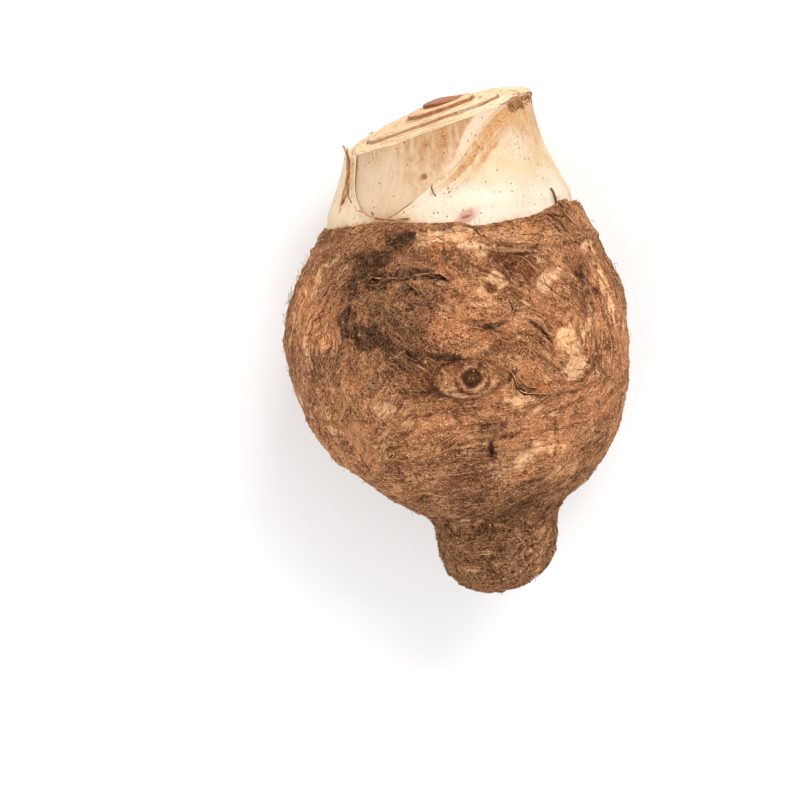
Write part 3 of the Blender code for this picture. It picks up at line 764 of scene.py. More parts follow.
class Bench:
    """Short ways to add nodes to a material or a group."""

    def __init__(self, tree):
        self.tree = tree

    def add(self, kind, inputs=None, **settings):
        node = self.tree.nodes.new(kind)
        for key, value in settings.items():
            setattr(node, key, value)
        for key, value in (inputs or {}).items():
            self.feed(node.inputs[key], value)
        return node

    def wire(self, kind, output, inputs=None, **settings):
        return Wire(self, self.add(kind, inputs, **settings).outputs[output])

    def feed(self, socket, value):
        if isinstance(value, Wire):
            self.tree.links.new(value.socket, socket)
        elif value is not None:
            socket.default_value = value

    def maths(self, operation, a, b=None, clamp=False):
        return self.wire("ShaderNodeMath", 0, {0: a, 1: b}, operation=operation, use_clamp=clamp)

    def greater(self, a, b):
        return self.maths("MAXIMUM", a, b)

    def mix(self, share, a, b, blend="MIX"):
        return self.wire("ShaderNodeMix", 2, {0: share, 6: a, 7: b}, data_type="RGBA", blend_type=blend)

    def between(self, share, a, b):
        """A plain value that goes from a to b as the share goes from 0 to 1."""
        return self.wire("ShaderNodeMix", 0, {0: share, 2: a, 3: b}, data_type="FLOAT")

    def coats(self, colour, *coats):
        """The colour under coats of (share, colour), the last one on top."""
        for share, coat in coats:
            colour = self.mix(share, colour, coat)
        return colour

    def span(self, value, low, high, to_low=0.0, to_high=1.0):
        """The value's way from low to high, eased and set between two others."""
        return self.wire("ShaderNodeMapRange", "Result", interpolation_type="SMOOTHSTEP", inputs={
            "Value": value, "From Min": low, "From Max": high, "To Min": to_low, "To Max": to_high})

    def mark(self, name):
        return self.wire("ShaderNodeAttribute", "Fac", attribute_name=name)

    def noise(self, vector, scale, detail=3.0, roughness=0.55, distortion=0.0):
        return self.wire("ShaderNodeTexNoise", "Fac", {
            "Vector": vector, "Scale": scale, "Detail": detail, "Roughness": roughness,
            "Distortion": distortion})

    def turned(self, vector, *rotation):
        return self.wire("ShaderNodeMapping", "Vector", {"Vector": vector, "Rotation": rotation})

    def split(self, vector):
        """The X, Y and Z of a place."""
        node = self.add("ShaderNodeSeparateXYZ", {"Vector": vector})
        return [Wire(self, node.outputs[axis]) for axis in "XYZ"]

    def use(self, name, **inputs):
        """The outputs of one of the shared groups, by name; an input's underscores stand for spaces."""
        node = self.add("ShaderNodeGroup", node_tree=bpy.data.node_groups[name])
        for key, value in inputs.items():
            self.feed(node.inputs[key.replace("_", " ")], value)
        return {socket.name: Wire(self, socket) for socket in node.outputs}

    def dress(self, shader, colour, roughness, relief, strength, distance):
        """Puts a colour, a roughness and a relief of that many metres on the shader."""
        self.feed(shader.inputs["Base Color"], colour)
        self.feed(shader.inputs["Roughness"], roughness)
        self.feed(shader.inputs["Normal"], self.wire("ShaderNodeBump", 0, {
            "Height": relief, "Strength": strength, "Distance": distance}))


def new_group(name, inputs, outputs):
    """A node group that takes a Place and named values: its bench, what it is given and its exits."""
    group = bpy.data.node_groups.new(name, "ShaderNodeTree")
    group.interface.new_socket("Place", in_out="INPUT", socket_type="NodeSocketVector")
    for label, default in inputs.items():
        socket = group.interface.new_socket(label, in_out="INPUT", socket_type="NodeSocketFloat")
        socket.default_value = default
    for label in outputs:
        group.interface.new_socket(label, in_out="OUTPUT", socket_type="NodeSocketFloat")
    bench = Bench(group)
    entry, leave = bench.add("NodeGroupInput"), bench.add("NodeGroupOutput")
    given = {socket.name: Wire(bench, socket) for socket in entry.outputs if socket.name}
    return bench, given, leave.inputs


WAVE_SIZE = 0.0024          # how far the bark fibres wander from a straight line, in metres
SURFACE_RADIUS = 0.050      # of the root, in metres, by which a turn becomes a way round it
WAY_SHIFT = 40.0            # keeps the four directions' fibres from being copies of each other


def fibre_grain_group():
    """Streaks of fine fibre along the part's Y axis, slanted by a twist around it."""
    b, given, out = new_group("fibre grain", {"Fineness": 900.0, "Length": 0.07, "Twist": 0.0},
                              ("Streaks", "Threads"))
    angle = b.split(given["Place"])[1] * given["Twist"]
    turned = b.wire("ShaderNodeVectorRotate", 0, {"Vector": given["Place"], "Angle": angle},
                    rotation_type="Y_AXIS")
    squash = b.wire("ShaderNodeCombineXYZ", 0, {"X": 1.0, "Y": given["Length"], "Z": 1.0})
    place = b.wire("ShaderNodeVectorMath", 0, {0: turned, 1: squash}, operation="MULTIPLY")
    b.feed(out["Streaks"], b.noise(place, given["Fineness"], 3.0, 0.6))
    thin = b.noise(place, given["Fineness"] * 1.7, 1.0, 0.4)
    b.feed(out["Threads"], b.span(abs(thin - 0.5), 0.045, 0.0))


def bark_fibre_group():
    """Bark fibres in four fixed directions over the root, blended by the lean of the grain.

    The lean comes in as the cosine and the sine of twice its angle from the root's length.
    """
    sums = {"Streaks": None, "Light Threads": None, "Dark Threads": None}
    b, given, out = new_group(
        "bark fibres", {"Lean Cosine": 1.0, "Lean Sine": 0.0, "Fineness": 1500.0, "Length": 0.08}, sums)
    wave = b.wire("ShaderNodeTexNoise", "Color", {"Vector": given["Place"], "Scale": 170.0, "Detail": 2.0})
    shift = b.wire("ShaderNodeVectorMath", 0, {0: wave, 1: (WAVE_SIZE,) * 3, 2: given["Place"]},
                   operation="MULTIPLY_ADD")
    x, y, z = b.split(shift)
    turn = b.maths("ARCTAN2", x - (ORIGIN[0] + STEM_SHIFT) * MM, z - ORIGIN[2] * MM)
    right = turn * SURFACE_RADIUS * given["Fineness"]
    up = y * given["Fineness"]
    for k, (sense, source) in enumerate(((1, "Cosine"), (1, "Sine"), (-1, "Cosine"), (-1, "Sine"))):
        c, s = math.cos(math.radians(45 * k)), math.sin(math.radians(45 * k))
        share = b.greater(given["Lean " + source] * sense, 0.0)
        share = share * share
        along = (right * s + up * c) * given["Length"] + WAY_SHIFT * k
        place = b.wire("ShaderNodeCombineXYZ", 0, {"X": right * c - up * s, "Y": along})
        thin = b.noise(place, 0.45, 1.0, 0.5)
        parts = (b.noise(place, 1.0, 2.0, 0.6), b.span(abs(thin - 0.50), 0.040, 0.0),
                 b.span(abs(thin - 0.62), 0.034, 0.0))
        for name, part in zip(sums, parts):
            sums[name] = part * share if sums[name] is None else sums[name] + part * share
    for name, total in sums.items():
        b.feed(out[name], total)


def speck_group():
    """Scattered small specks of soil."""
    b, given, out = new_group("soil specks", {"Spacing": 300.0, "Size": 0.18, "Share": 0.3}, ("Specks",))
    cells = b.add("ShaderNodeTexVoronoi", {"Vector": given["Place"], "Scale": given["Spacing"]})
    near = given["Size"] - Wire(b, cells.outputs["Distance"])
    chosen = b.wire("ShaderNodeSeparateColor", 0, {"Color": Wire(b, cells.outputs["Color"])})
    b.feed(out["Specks"], b.span(near, 0.0, 0.05) * b.maths("LESS_THAN", chosen, given["Share"]))


def blotch_group():
    """Soft blotches with a broken edge."""
    b, given, out = new_group("blotches", {"Size": 60.0, "Start": 0.55, "End": 0.7}, ("Blotches",))
    value = b.noise(given["Place"], given["Size"], 6.0, 0.62)
    b.feed(out["Blotches"], b.span(value, given["Start"], given["End"]))


def torn_group():
    """Thin layers that have torn away: where a layer is left, its pale lip and the dark beside it."""
    b, given, out = new_group("torn layers", {"Size": 100.0, "Level": 0.5, "Fray": 0.0},
                              ("Layer", "Lip", "Shadow"))
    over = b.noise(given["Place"], given["Size"], 7.0, 0.58, 0.35) - given["Level"] + given["Fray"]
    b.feed(out["Layer"], b.span(over, 0.0, 0.014))
    b.feed(out["Lip"], b.span(abs(over - 0.012), 0.012, 0.0))
    b.feed(out["Shadow"], b.span(abs(over + 0.012), 0.014, 0.0))


for build in (fibre_grain_group, bark_fibre_group, speck_group, blotch_group, torn_group):
    build()


def new_material(name, roughness, specular):
    """A material with its bench, its shader and the place on the part."""
    material = bpy.data.materials.new(name)
    material.use_nodes = True
    shader = material.node_tree.nodes["Principled BSDF"]
    shader.inputs["Roughness"].default_value = roughness
    shader.inputs["Specular IOR Level"].default_value = specular
    bench = Bench(material.node_tree)
    return material, bench, shader, bench.wire("ShaderNodeTexCoord", "Object")


def rgb(red, green, blue):
    """A colour from its 0 to 255 values, as colours are written for a screen."""
    return tuple(c / 255 / 12.92 if c < 10 else ((c / 255 + 0.055) / 1.055) ** 2.4
                 for c in (red, green, blue)) + (1.0,)


# ---------------------------------------------------------------- materials

BARK_DARK, BARK_LIGHT = rgb(128, 71, 40), rgb(192, 125, 79)
BARK_BAND, BARK_GREY, BARK_HAIRY = rgb(192, 133, 88), rgb(92, 53, 29), rgb(134, 75, 43)
# The near-black below is the darkest bark and fibre, and also painted shade in the hair mat's crevices and
# beside torn layers.
BARK_PLUM, BARK_RUST, BARK_BLACK_AND_SHADE = rgb(126, 68, 38), rgb(178, 108, 64), rgb(44, 24, 15)
BARK_THREAD, BARK_PALE = rgb(222, 167, 120), rgb(234, 182, 135)
FLESH_SHADE, FLESH_LIGHT = rgb(208, 148, 100), rgb(246, 198, 152)
RING_LINE, PIT_DARK = rgb(84, 48, 30), rgb(46, 25, 16)
SOIL_SPECK, SAND_SPECK, LEAF_SPECK = rgb(62, 34, 20), rgb(236, 190, 146), rgb(104, 62, 34)
LEAF_FLUSH, LEAF_BROWN = rgb(176, 104, 94), rgb(124, 64, 28)
TORN_SHADE, CHIP_LIGHT = (0.66, 0.60, 0.54, 1), (1.30, 1.28, 1.24, 1)
# Multipliers for the broad tone patches: partly the bark's own tone, partly painted shade and painted light.
DARKER_TONE_AND_SHADE, LIGHTER_TONE_AND_LIGHT = (0.56, 0.48, 0.42, 1), (1.50, 1.46, 1.38, 1)


def skin_material():
    """Bark of the corm: brown plates, paler worn places, fine fibre and small dark pits."""
    material, b, shader, place = new_material("taro skin", 0.85, 0.12)
    fine, tiny = b.noise(place, 1500.0, 2.0, 0.6), b.noise(place, 2900.0, 1.0, 0.5)
    rough = b.noise(place, 520.0, 4.0, 0.75)
    mark = {name: b.mark(name) for name in (
        "band", "bark", "deep", "fibre", "flesh", "grey", "hair", "paper", "pit", "plum", "ring",
        "lean_cosine", "lean_sine")}
    lean = {"Lean_Cosine": mark["lean_cosine"], "Lean_Sine": mark["lean_sine"]}
    streak = b.use("bark fibres", Place=place, Fineness=1500.0, Length=0.10, **lean)["Streaks"]
    threads = b.use("bark fibres", Place=b.turned(place, 0, 0.4, 0), Fineness=900.0, Length=0.05, **lean)
    ragged = rough * 0.5 + streak * 0.9

    def cover(name, low, high, most=1.0):
        """A patch whose edge is broken up by the bark's own roughness and fibres."""
        return b.span(b.mark(name) + ragged, low, high) * most

    bark = mark["bark"] + (b.noise(place, 130.0, 5.0, 0.65) - 0.5)
    # Near-black in the hair mat: partly its own dark, partly painted shade in its crevices.
    black_mat_and_shade = cover("tangle", 1.06, 1.52) * b.span(rough, 0.32, 0.64, 1.0, 0.72)
    colour = b.coats(
        b.mix(b.span(bark, 0.15, 0.85), BARK_DARK, BARK_LIGHT),
        (mark["band"] * 0.35, BARK_BAND), (mark["grey"] * 0.75, BARK_GREY),
        (mark["hair"] * 0.60, BARK_HAIRY),
        (cover("plum", 0.95, 1.45, 0.85), BARK_PLUM), (cover("rust", 0.98, 1.55, 0.85), BARK_RUST),
        (cover("flesh", 1.04, 1.60, 0.95), b.mix(b.span(rough, 0.36, 0.60), FLESH_SHADE, FLESH_LIGHT)),
        (black_mat_and_shade, BARK_BLACK_AND_SHADE))
    not_black = b.span(b.greater(black_mat_and_shade, mark["pit"]), 0.0, 1.0, 1.0, 0.16)

    fray = (streak - 0.5) * 0.16
    torn = b.use("torn layers", Place=place, Size=78.0, Level=0.50, Fray=fray)
    chips = b.use("torn layers", Place=b.turned(place, 0.9, 0.2, 0.5), Size=190.0, Level=0.55, Fray=fray)
    colour = b.mix((1.0 - torn["Layer"]) * 0.48, colour, TORN_SHADE, "MULTIPLY")
    colour = b.mix(chips["Layer"] * 0.30, colour, CHIP_LIGHT, "MULTIPLY")

    matt = b.greater(mark["paper"], mark["grey"]) * 0.80
    shade = b.span(mark["fibre"], 0.12, 0.88, 0.86, 1.14)
    shade = shade * b.between(matt, b.span(streak, 0.29, 0.71, 0.64, 1.38), 1.0)
    shade = shade * b.span(fine, 0.30, 0.70, 0.70, 1.32)
    shade = shade * b.span(tiny, 0.34, 0.66, 0.49, 1.63)
    shade = shade * b.span(rough, 0.25, 0.75, 0.86, 1.14)
    shade = b.between(b.greater(mark["flesh"] * 0.42, mark["plum"] * 0.40), shade, 1.0)
    darker = b.maths("MINIMUM", shade, 1.0)
    grey = b.wire("ShaderNodeCombineColor", 0, {0: darker, 1: darker, 2: darker})
    colour = b.mix(1.0, colour, grey, "MULTIPLY")
    colour = b.mix(b.maths("MULTIPLY", shade - 1.0, not_black * 0.62, clamp=True), colour, BARK_PALE)
    # The broad tone patches: the bark's own darker and lighter places, with painted shadow and painted
    # light.
    colour = b.mix(b.span(mark["deep"], 0.0, 1.0), colour, DARKER_TONE_AND_SHADE, "MULTIPLY")
    colour = b.mix(b.span(mark["deep"], 0.0, -1.0), colour, LIGHTER_TONE_AND_LIGHT, "MULTIPLY")

    here = b.span(b.noise(place, 240.0, 3.0, 0.6), 0.38, 0.62) * b.span(mark["paper"], 0.0, 1.0, 1.0, 0.25)
    light = threads["Light Threads"] * here * 0.72 * not_black
    off_paper = b.span(mark["paper"], 0.0, 1.0, 1.0, 0.4)
    dark = threads["Dark Threads"] * b.span(mark["grey"], 0.8, 0.2) * off_paper
    lips = b.greater(torn["Lip"], chips["Lip"] * 0.6) * b.span(rough, 0.42, 0.60, 0.0, 0.62) * not_black
    shadows = b.greater(torn["Shadow"], chips["Shadow"] * 0.6) * b.span(rough, 0.60, 0.40) * 0.75
    specks = b.use("soil specks", Place=place, Spacing=620.0, Size=0.30, Share=0.17)["Specks"]
    sand = b.use("soil specks", Place=b.turned(place, 0.7, 0.3, 1.1), Spacing=660.0, Size=0.28, Share=0.12)
    colour = b.coats(
        colour, (light, BARK_THREAD), (dark * 0.62, BARK_BLACK_AND_SHADE), (lips, BARK_PALE), (shadows, BARK_BLACK_AND_SHADE),
        (mark["ring"] * 0.6, RING_LINE), (specks * 0.75, SOIL_SPECK), (sand["Specks"] * 0.5, SAND_SPECK),
        (b.maths("MULTIPLY", mark["pit"], 0.9, clamp=True), PIT_DARK))
    relief = (streak * 1.0 + rough * 0.8 + fine * 0.5 + light * 0.5 - (specks + dark) * 0.3
              + (torn["Layer"] + chips["Layer"] * 0.6) * 0.5)
    b.dress(shader, colour, b.span(fine, 0.3, 0.7, 0.70, 0.94), relief, 0.65, 0.0006)
    return material


LEAF_ROUGHNESS = 0.45
LEAF_LOOKS = {  # light, shade, stain, deep stain, cut, cut's shade, sheltered colour (on the outermost leaf partly a painted highlight), strength of the stains
    "outer leaf base": ((222, 200, 166), (212, 184, 142), (206, 158, 106), (172, 116, 66),
                        (254, 222, 176), (242, 200, 148), (226, 212, 194), 0.42),
    "leaf stalk": ((206, 180, 148), (198, 166, 128), (190, 142, 92), (150, 98, 56),
                   (255, 224, 178), (244, 198, 146), (222, 194, 168), 0.45),
    "inner leaf": ((220, 172, 124), (202, 148, 100), (184, 120, 74), (144, 82, 48),
                   (250, 208, 156), (232, 178, 122), (222, 194, 168), 0.5),
    "heart leaf": ((184, 116, 74), (158, 92, 56), (134, 72, 42), (112, 58, 34),
                   (196, 126, 82), (168, 100, 62), (222, 194, 168), 0.5)}


def leaf_material(name):
    """Leaf base: long grain, tan stains, soil specks, and a browned edge where it was cut."""
    *colours, stains = LEAF_LOOKS[name]
    light, shade, stain, deep_stain, cut, cut_shade, sheltered_and_highlight = [rgb(*colour) for colour in colours]
    material, b, shader, place = new_material(name, LEAF_ROUGHNESS, 0.3)
    grain = b.use("fibre grain", Place=place, Fineness=980.0, Length=0.025)
    coarse_grain = b.use("fibre grain", Place=place, Fineness=210.0, Length=0.05)["Streaks"]
    fine, tone = b.noise(place, 1200.0, 3.0, 0.7), b.noise(place, 42.0, 4.0, 0.55)
    patchy, mottled = b.span(tone, 0.35, 0.65), b.span(fine, 0.35, 0.65)
    uneven = b.mark("stain") + (fine - 0.5) * 0.9 + (grain["Streaks"] - 0.5) * 0.8
    brown = b.span(b.mark("browned") + (fine - 0.5) * 0.6, 0.12, 0.85)
    blotch = b.use("blotches", Place=place, Size=95.0, Start=0.56, End=0.76)["Blotches"]
    specks = b.use("soil specks", Place=place, Spacing=300.0, Size=0.12, Share=0.20)["Specks"]
    dust = b.use("soil specks", Place=place, Spacing=700.0, Size=0.25, Share=0.11)["Specks"]
    colour = b.coats(
        b.mix(patchy, light, shade),
        (b.mark("face"), b.mix(patchy, cut, cut_shade)),
        (b.span(grain["Streaks"], 0.42, 0.74) * 0.28, stain),
        (b.span(coarse_grain, 0.50, 0.75) * 0.30, stain),
        (blotch * stains, stain),
        (b.span(uneven, 0.15, 0.95), b.mix(mottled, deep_stain, stain)),
        # Pale sheltered places; on the outermost leaf partly a painted highlight.
        (b.mark("sheltered_and_highlight") * 0.85, sheltered_and_highlight),
        (b.mark("flush") * 0.75, LEAF_FLUSH),
        (brown, b.mix(mottled, LEAF_BROWN, deep_stain)),
        (grain["Threads"] * b.span(tone, 0.40, 0.60, 0.10, 0.50), deep_stain),
        (b.greater(specks, dust) * 0.8, LEAF_SPECK))
    gloss = b.span(grain["Streaks"], 0.3, 0.7, LEAF_ROUGHNESS - 0.08, LEAF_ROUGHNESS + 0.16)
    b.dress(shader, colour, gloss, grain["Streaks"] + fine * 0.5, 0.35, 0.0004)
    return material


def strand_material(name, dark, light):
    """Root hair and bark fibre, from dark to light by each strand's own tone."""
    material, b, shader, place = new_material(name, 0.9, 0.08)
    grain = b.use("fibre grain", Place=place, Fineness=900.0, Length=0.2, Twist=9.0)["Streaks"]
    tone = b.maths("ADD", b.mark("tone"), b.span(grain, 0.3, 0.7, -0.15, 0.15), clamp=True)
    b.dress(shader, b.mix(tone, dark, light), None, grain, 0.3, 0.0002)
    return material


# ---------------------------------------------------------------- leaf bases

SEAT_TOP, SEAT_FOOT, SEAT_DEPTH = 48.5, 45.0, 0.32
RIM_TUCK = 1.4         # how far the outermost leaf runs on down behind the skin's edge
WALL, TOP, HOLLOW = 0, 1, 2  # kinds of rows of a leaf's grid: outer wall, cut or edge, inner wall
LEAF_MARKS = ("browned", "stain", "flush", "sheltered_and_highlight", "face")
CREASES = ((1.5, 0.45, 0.55), (3.1, 0.5, 0.42), (5.4, 0.6, 0.25))  # below the edge, width, strength
DARK_TIP = (  # along, degrees round, wide, tall, slant
    (84.4, 10, 5, 1.3, 0), (83.2, 22, 5.8, 2.4, 0), (82, 30, 4.4, 3.4, 0.4), (80.2, 36, 2.6, 3.6, 0.8))
LEAF_SPOTS = (  # along, degrees, size, depth of brown
    (59.4, 101.8, 1.5, 0.75), (67.2, 69, 0.7, 0.9), (66.6, 67.2, 0.6, 0.9), (68.2, 66.4, 0.5, 0.8),
    (70.6, 62.8, 0.45, 0.7), (62.6, 74.6, 0.6, 0.7), (73.8, 58.4, 0.5, 0.6), (66, 64, 0.4, 0.6),
    (61.2, 80.5, 0.9, 0.7), (60.6, 82.4, 0.6, 0.6), (54.6, 89.6, 0.55, 0.95), (53.4, 89.2, 0.5, 0.9),
    (54.4, 87.6, 0.35, 0.7), (65.6, 31, 0.6, 0.8), (67.4, 31, 0.4, 0.6), (75, 92, 0.9, 0.4),
    (68.5, 88, 0.5, 0.6), (70, 93.5, 0.6, 0.5), (72.6, 96, 0.8, 0.35), (51.6, 68, 0.45, 0.8),
    (48.8, 53, 0.3, 0.8), (46.6, 51, 0.3, 0.8), (47.2, 74, 0.8, 0.4), (46.4, 70, 0.7, 0.45),
    (58, 92.5, 0.4, 0.7), (63, 62, 0.35, 0.6), (57, 40, 0.35, 0.7), (52, 30, 0.3, 0.7))


def stem_radius(height):
    """Radius of the whole leaf bundle at a height along the axis."""
    return smooth_curve(STEM_PROFILE, height)


def around_leaf(count):
    return 2 * math.pi * np.arange(count) / count


def outline_points(outline, angles, height, shrink):
    """Points of a leaf outline at the given heights; angles and heights may be arrays."""
    centre_x, centre_z, half_x, half_z = outline
    scale = stem_radius(height) / STEM_TOP_RADIUS
    return (centre_x * scale + (half_x * scale - shrink) * np.cos(angles),
            centre_z * scale + (half_z * scale - shrink) * np.sin(angles))


def cut_surface(x, z):
    """Height of the slanting cut, with the blade's facets and ridges."""
    dome = CUT_DOME * (1.0 - (x / STEM_TOP_RADIUS) ** 2)
    facets = 0.35 * lumps(np.stack([x, 0 * x, z], -1), (14.0, 1.0, 9.0), 201, 2)
    ridges = 0.16 * lumps(np.stack([x + 0.9 * z, 0 * x, z], -1), (9.0, 1.0, 1.7), 202, 2)
    return CUT_HEIGHT + CUT_SLOPE_X * x + CUT_SLOPE_Z * z + dome + facets + ridges


def free_edge(angles):
    """Height of the outermost leaf's free edge, or NO_EDGE where it reaches the cut."""
    degrees = np.degrees(angles) % 360.0
    inside = (degrees > FREE_EDGE[0][0]) & (degrees < FREE_EDGE[-1][0])
    return np.where(inside, smooth_curve(FREE_EDGE, degrees), NO_EDGE)


def growing_tip(radius):
    """Height of the hidden growing tip at a radius from the middle of the leaf bundle."""
    return APEX_HEIGHT - (APEX_HEIGHT - RIM_HEIGHT) * np.minimum(radius / RIM_RADIUS, 1.0) ** 2


def leaf_wall(outline, angles, shrink, limit, proud, levels, rim=None):
    """Rows of points up a leaf's outline, from the growing tip to the cut or the leaf's free edge."""
    low = np.full(angles.shape, RIM_HEIGHT)
    high = np.full(angles.shape, CUT_HEIGHT)
    for _ in range(7):
        x, z = outline_points(outline, angles, low, shrink)
        low = growing_tip(np.hypot(x, z)) + 0.05
        x, z = outline_points(outline, angles, high, shrink)
        high = cut_surface(x, z) + proud
    high = np.minimum(high, limit)
    low = low if rim is None else np.minimum(low, rim)
    height = low + (high - low) * np.linspace(0, 1, levels)[:, None]
    x, z = outline_points(outline, np.broadcast_to(angles, height.shape), height, shrink)
    return from_stem(x, height, z)


def seat_on_skin(wall, angles, tree):
    """Widens the foot of the outermost leaf so that it comes out from under the edge of the skin."""
    for j, angle in enumerate(angles):
        way = (math.cos(angle), 0.0, math.sin(angle))
        for i in range(len(wall)):
            x, height, z = wall[i, j]
            if height > SEAT_TOP:
                break
            skin_radius = cast_skin(tree, (STEM_SHIFT, min(height, CAST_TOP), 0.0), way) - SEAT_DEPTH
            skin_radius += RIM_SLOPE * max(0.0, height - CAST_TOP)
            radius = math.hypot(x - STEM_SHIFT, z)
            radius += (skin_radius - radius) * float(ease(SEAT_TOP, SEAT_FOOT, height))
            wall[i, j, 0], wall[i, j, 2] = STEM_SHIFT + radius * way[0], radius * way[2]
    return wall


def thinned(outer, inside, angles, limit):
    """Draws the outer wall towards the inner one as it nears the leaf's free edge."""
    height = outer[..., 1]
    share = np.clip(1.0 - (limit - height) / EDGE_TAPER, 0, 1) ** 1.5 * EDGE_THINNING
    share *= np.clip((height - outer[0, :, 1]) / 2.5, 0, 1)
    x, z = outline_points(inside, np.broadcast_to(angles, height.shape), height, 0.0)
    return outer + (from_stem(x, height, z) - outer) * share[..., None]


def wrinkled(grid, kinds, seed):
    """Fine ridges that run up the stalks, and a softly uneven surface."""
    ridges = lumps(grid * (1, 0.05, 1), 1.1, seed, 2, 0.7)
    dents = lumps(grid, (7.0, 12.0, 7.0), seed + 1, 2)
    outward = unit((grid - (STEM_SHIFT, 0, 0)) * (1, 0, 1))
    height = (0.07 * ridges + 0.28 * dents) * (kinds == WALL)[:, None]
    return grid + outward * height[..., None]


def leaf_base(number, name, material, around, levels, across, tree=None, proud=0.0):
    """A tube between two leaf outlines, marked where it is stained, browned, flushed and paler: sheltered,
    on the outermost leaf partly a painted highlight.

    With a tree of the corm it is the outermost leaf, which clasps the others with a thin free edge.
    """
    outside, inside = LEAF_OUTLINES[number], LEAF_OUTLINES[number + 1]
    angles = around_leaf(around)
    limit = free_edge(angles) if tree else np.full(around, NO_EDGE)
    rim = rim_height(angles) - RIM_TUCK if tree else None
    outer = leaf_wall(outside, angles, 0.35 if tree else 0.60, limit, proud, levels, rim)
    inner = leaf_wall(inside, angles, 0.3, limit, proud, max(6, levels // 4))
    if tree:
        outer = thinned(seat_on_skin(outer, angles, tree), inside, angles, limit)
    top_mix = np.linspace(0, 1, across + 2)[1:-1, None, None]
    top = outer[-1] * (1 - top_mix) + inner[-1] * top_mix
    cut = cut_surface(top[..., 0] - STEM_SHIFT, top[..., 2]) + proud
    wide = np.linalg.norm(outer[-1] - inner[-1], axis=-1)
    rounding = 0.45 * np.minimum(wide, 1.0) * np.sin(np.pi * top_mix[..., 0])
    top[..., 1] = np.where(limit < NO_EDGE, np.minimum(cut, limit + rounding), cut)
    kinds = np.repeat((WALL, TOP, HOLLOW), (len(outer), across, len(inner)))
    grid = wrinkled(np.concatenate([outer, top, inner[::-1]]), kinds, 230 + 2 * number)
    leaf = Leaf(grid, kinds, outer[-1], inner[-1], limit)
    leaf.mark_cut(max(0.0, proud - 0.7))
    if tree:
        mark_clasping(leaf)
        leaf.mark_tip(1.0)
    else:
        mark_inner(leaf)
    if number == 1:
        leaf.mark_tip(leaf.on_cut * ease(5.5, 2.0, leaf.depth_in + 1.5 * leaf.coarse))
    leaf.mark_spots()
    faces = grid_faces(len(grid), around, closed_rows=True)[:, ::-1]
    return mesh_piece(name, grid.reshape(-1, 3), faces, material, leaf.marks, (name,))


class Leaf:
    """A leaf base's points with the places and measures that its marks are laid out by."""

    def __init__(self, grid, kinds, outer_top, inner_top, limit):
        self.height = grid[..., 1]
        self.turn = np.degrees(np.arctan2(grid[..., 2], grid[..., 0] - STEM_SHIFT))
        self.edge = free_edge(np.radians(self.turn))
        self.has_edge = self.edge < NO_EDGE
        self.was_cut = (limit == NO_EDGE)[None, :]
        self.on_wall = (kinds == WALL)[:, None]
        self.on_cut = (kinds == TOP)[:, None] & self.was_cut
        self.noise = lumps(grid, 2.0, 211, 3, 0.6)
        self.coarse = lumps(grid, (6.0, 9.0, 6.0), 213, 4, 0.65)
        self.streaky = 0.5 + 0.5 * lumps(grid * (1, 0.14, 1), 1.4, 214, 3, 0.65)
        self.below_cut = outer_top[None, :, 1] - self.height
        self.depth_in = np.linalg.norm(grid - outer_top, axis=-1)
        self.cut_gap = np.minimum(self.depth_in, np.linalg.norm(grid - inner_top, axis=-1))
        self.marks = {mark: np.zeros_like(self.height) for mark in LEAF_MARKS}
        self.marks["face"] += self.on_cut

    def mark(self, name, amount):
        self.marks[name] = np.maximum(self.marks[name], amount)

    def mark_wall(self, name, amount):
        self.mark(name, self.on_wall * amount)

    def mark_cut(self, raised):
        """Browns the cut's rims and the wall raised past its neighbour, and stains the cut face."""
        rims = ease(0.9, 0.1, self.cut_gap + 0.35 * self.noise) * (0.45 + 0.3 * (self.coarse > -0.1))
        self.mark("browned", np.where(self.on_cut, rims, 0.0))
        rim_brown = ease(0.55, 0.0, self.below_cut + 0.25 * self.noise) * 0.45
        if raised:
            bared = ease(raised - 0.3, raised + 0.5, self.below_cut + 0.3 * self.noise)
            rim_brown = np.maximum(rim_brown, (0.45 + 0.5 * self.streaky) * bared)
        self.mark_wall("browned", self.was_cut * rim_brown)
        places = np.stack([self.depth_in, np.radians(self.turn) * 3.0, 0 * self.height], -1)
        layers = lumps(places, (1.5, 1.5, 1.0), 212, 3, 0.65)
        self.mark("stain", np.where(self.on_cut, 0.70 * ease(-0.15, 0.55, layers + 0.3 * self.coarse), 0.0))

    def mark_tip(self, where):
        """Browns the dried tip at the far side of the cut."""
        for along, degrees, wide, tall, slant in DARK_TIP:
            right, up = (self.turn - degrees) * -0.58, self.height - along
            reach = np.hypot((right + slant * up) / wide, up / tall)
            brown = where * ease(1.25, 0.45, reach + 0.45 * self.noise)
            self.mark("browned", brown * (0.5 + 0.45 * self.streaky))

    def mark_spots(self):
        """Small brown spots on the outer wall."""
        for along, degrees, size, depth in LEAF_SPOTS:
            reach = np.hypot((self.turn - degrees) * 0.64 / size, (self.height - along) / size)
            self.mark("browned", depth * self.on_wall * ease(1.25, 0.35, reach + 0.45 * self.noise))


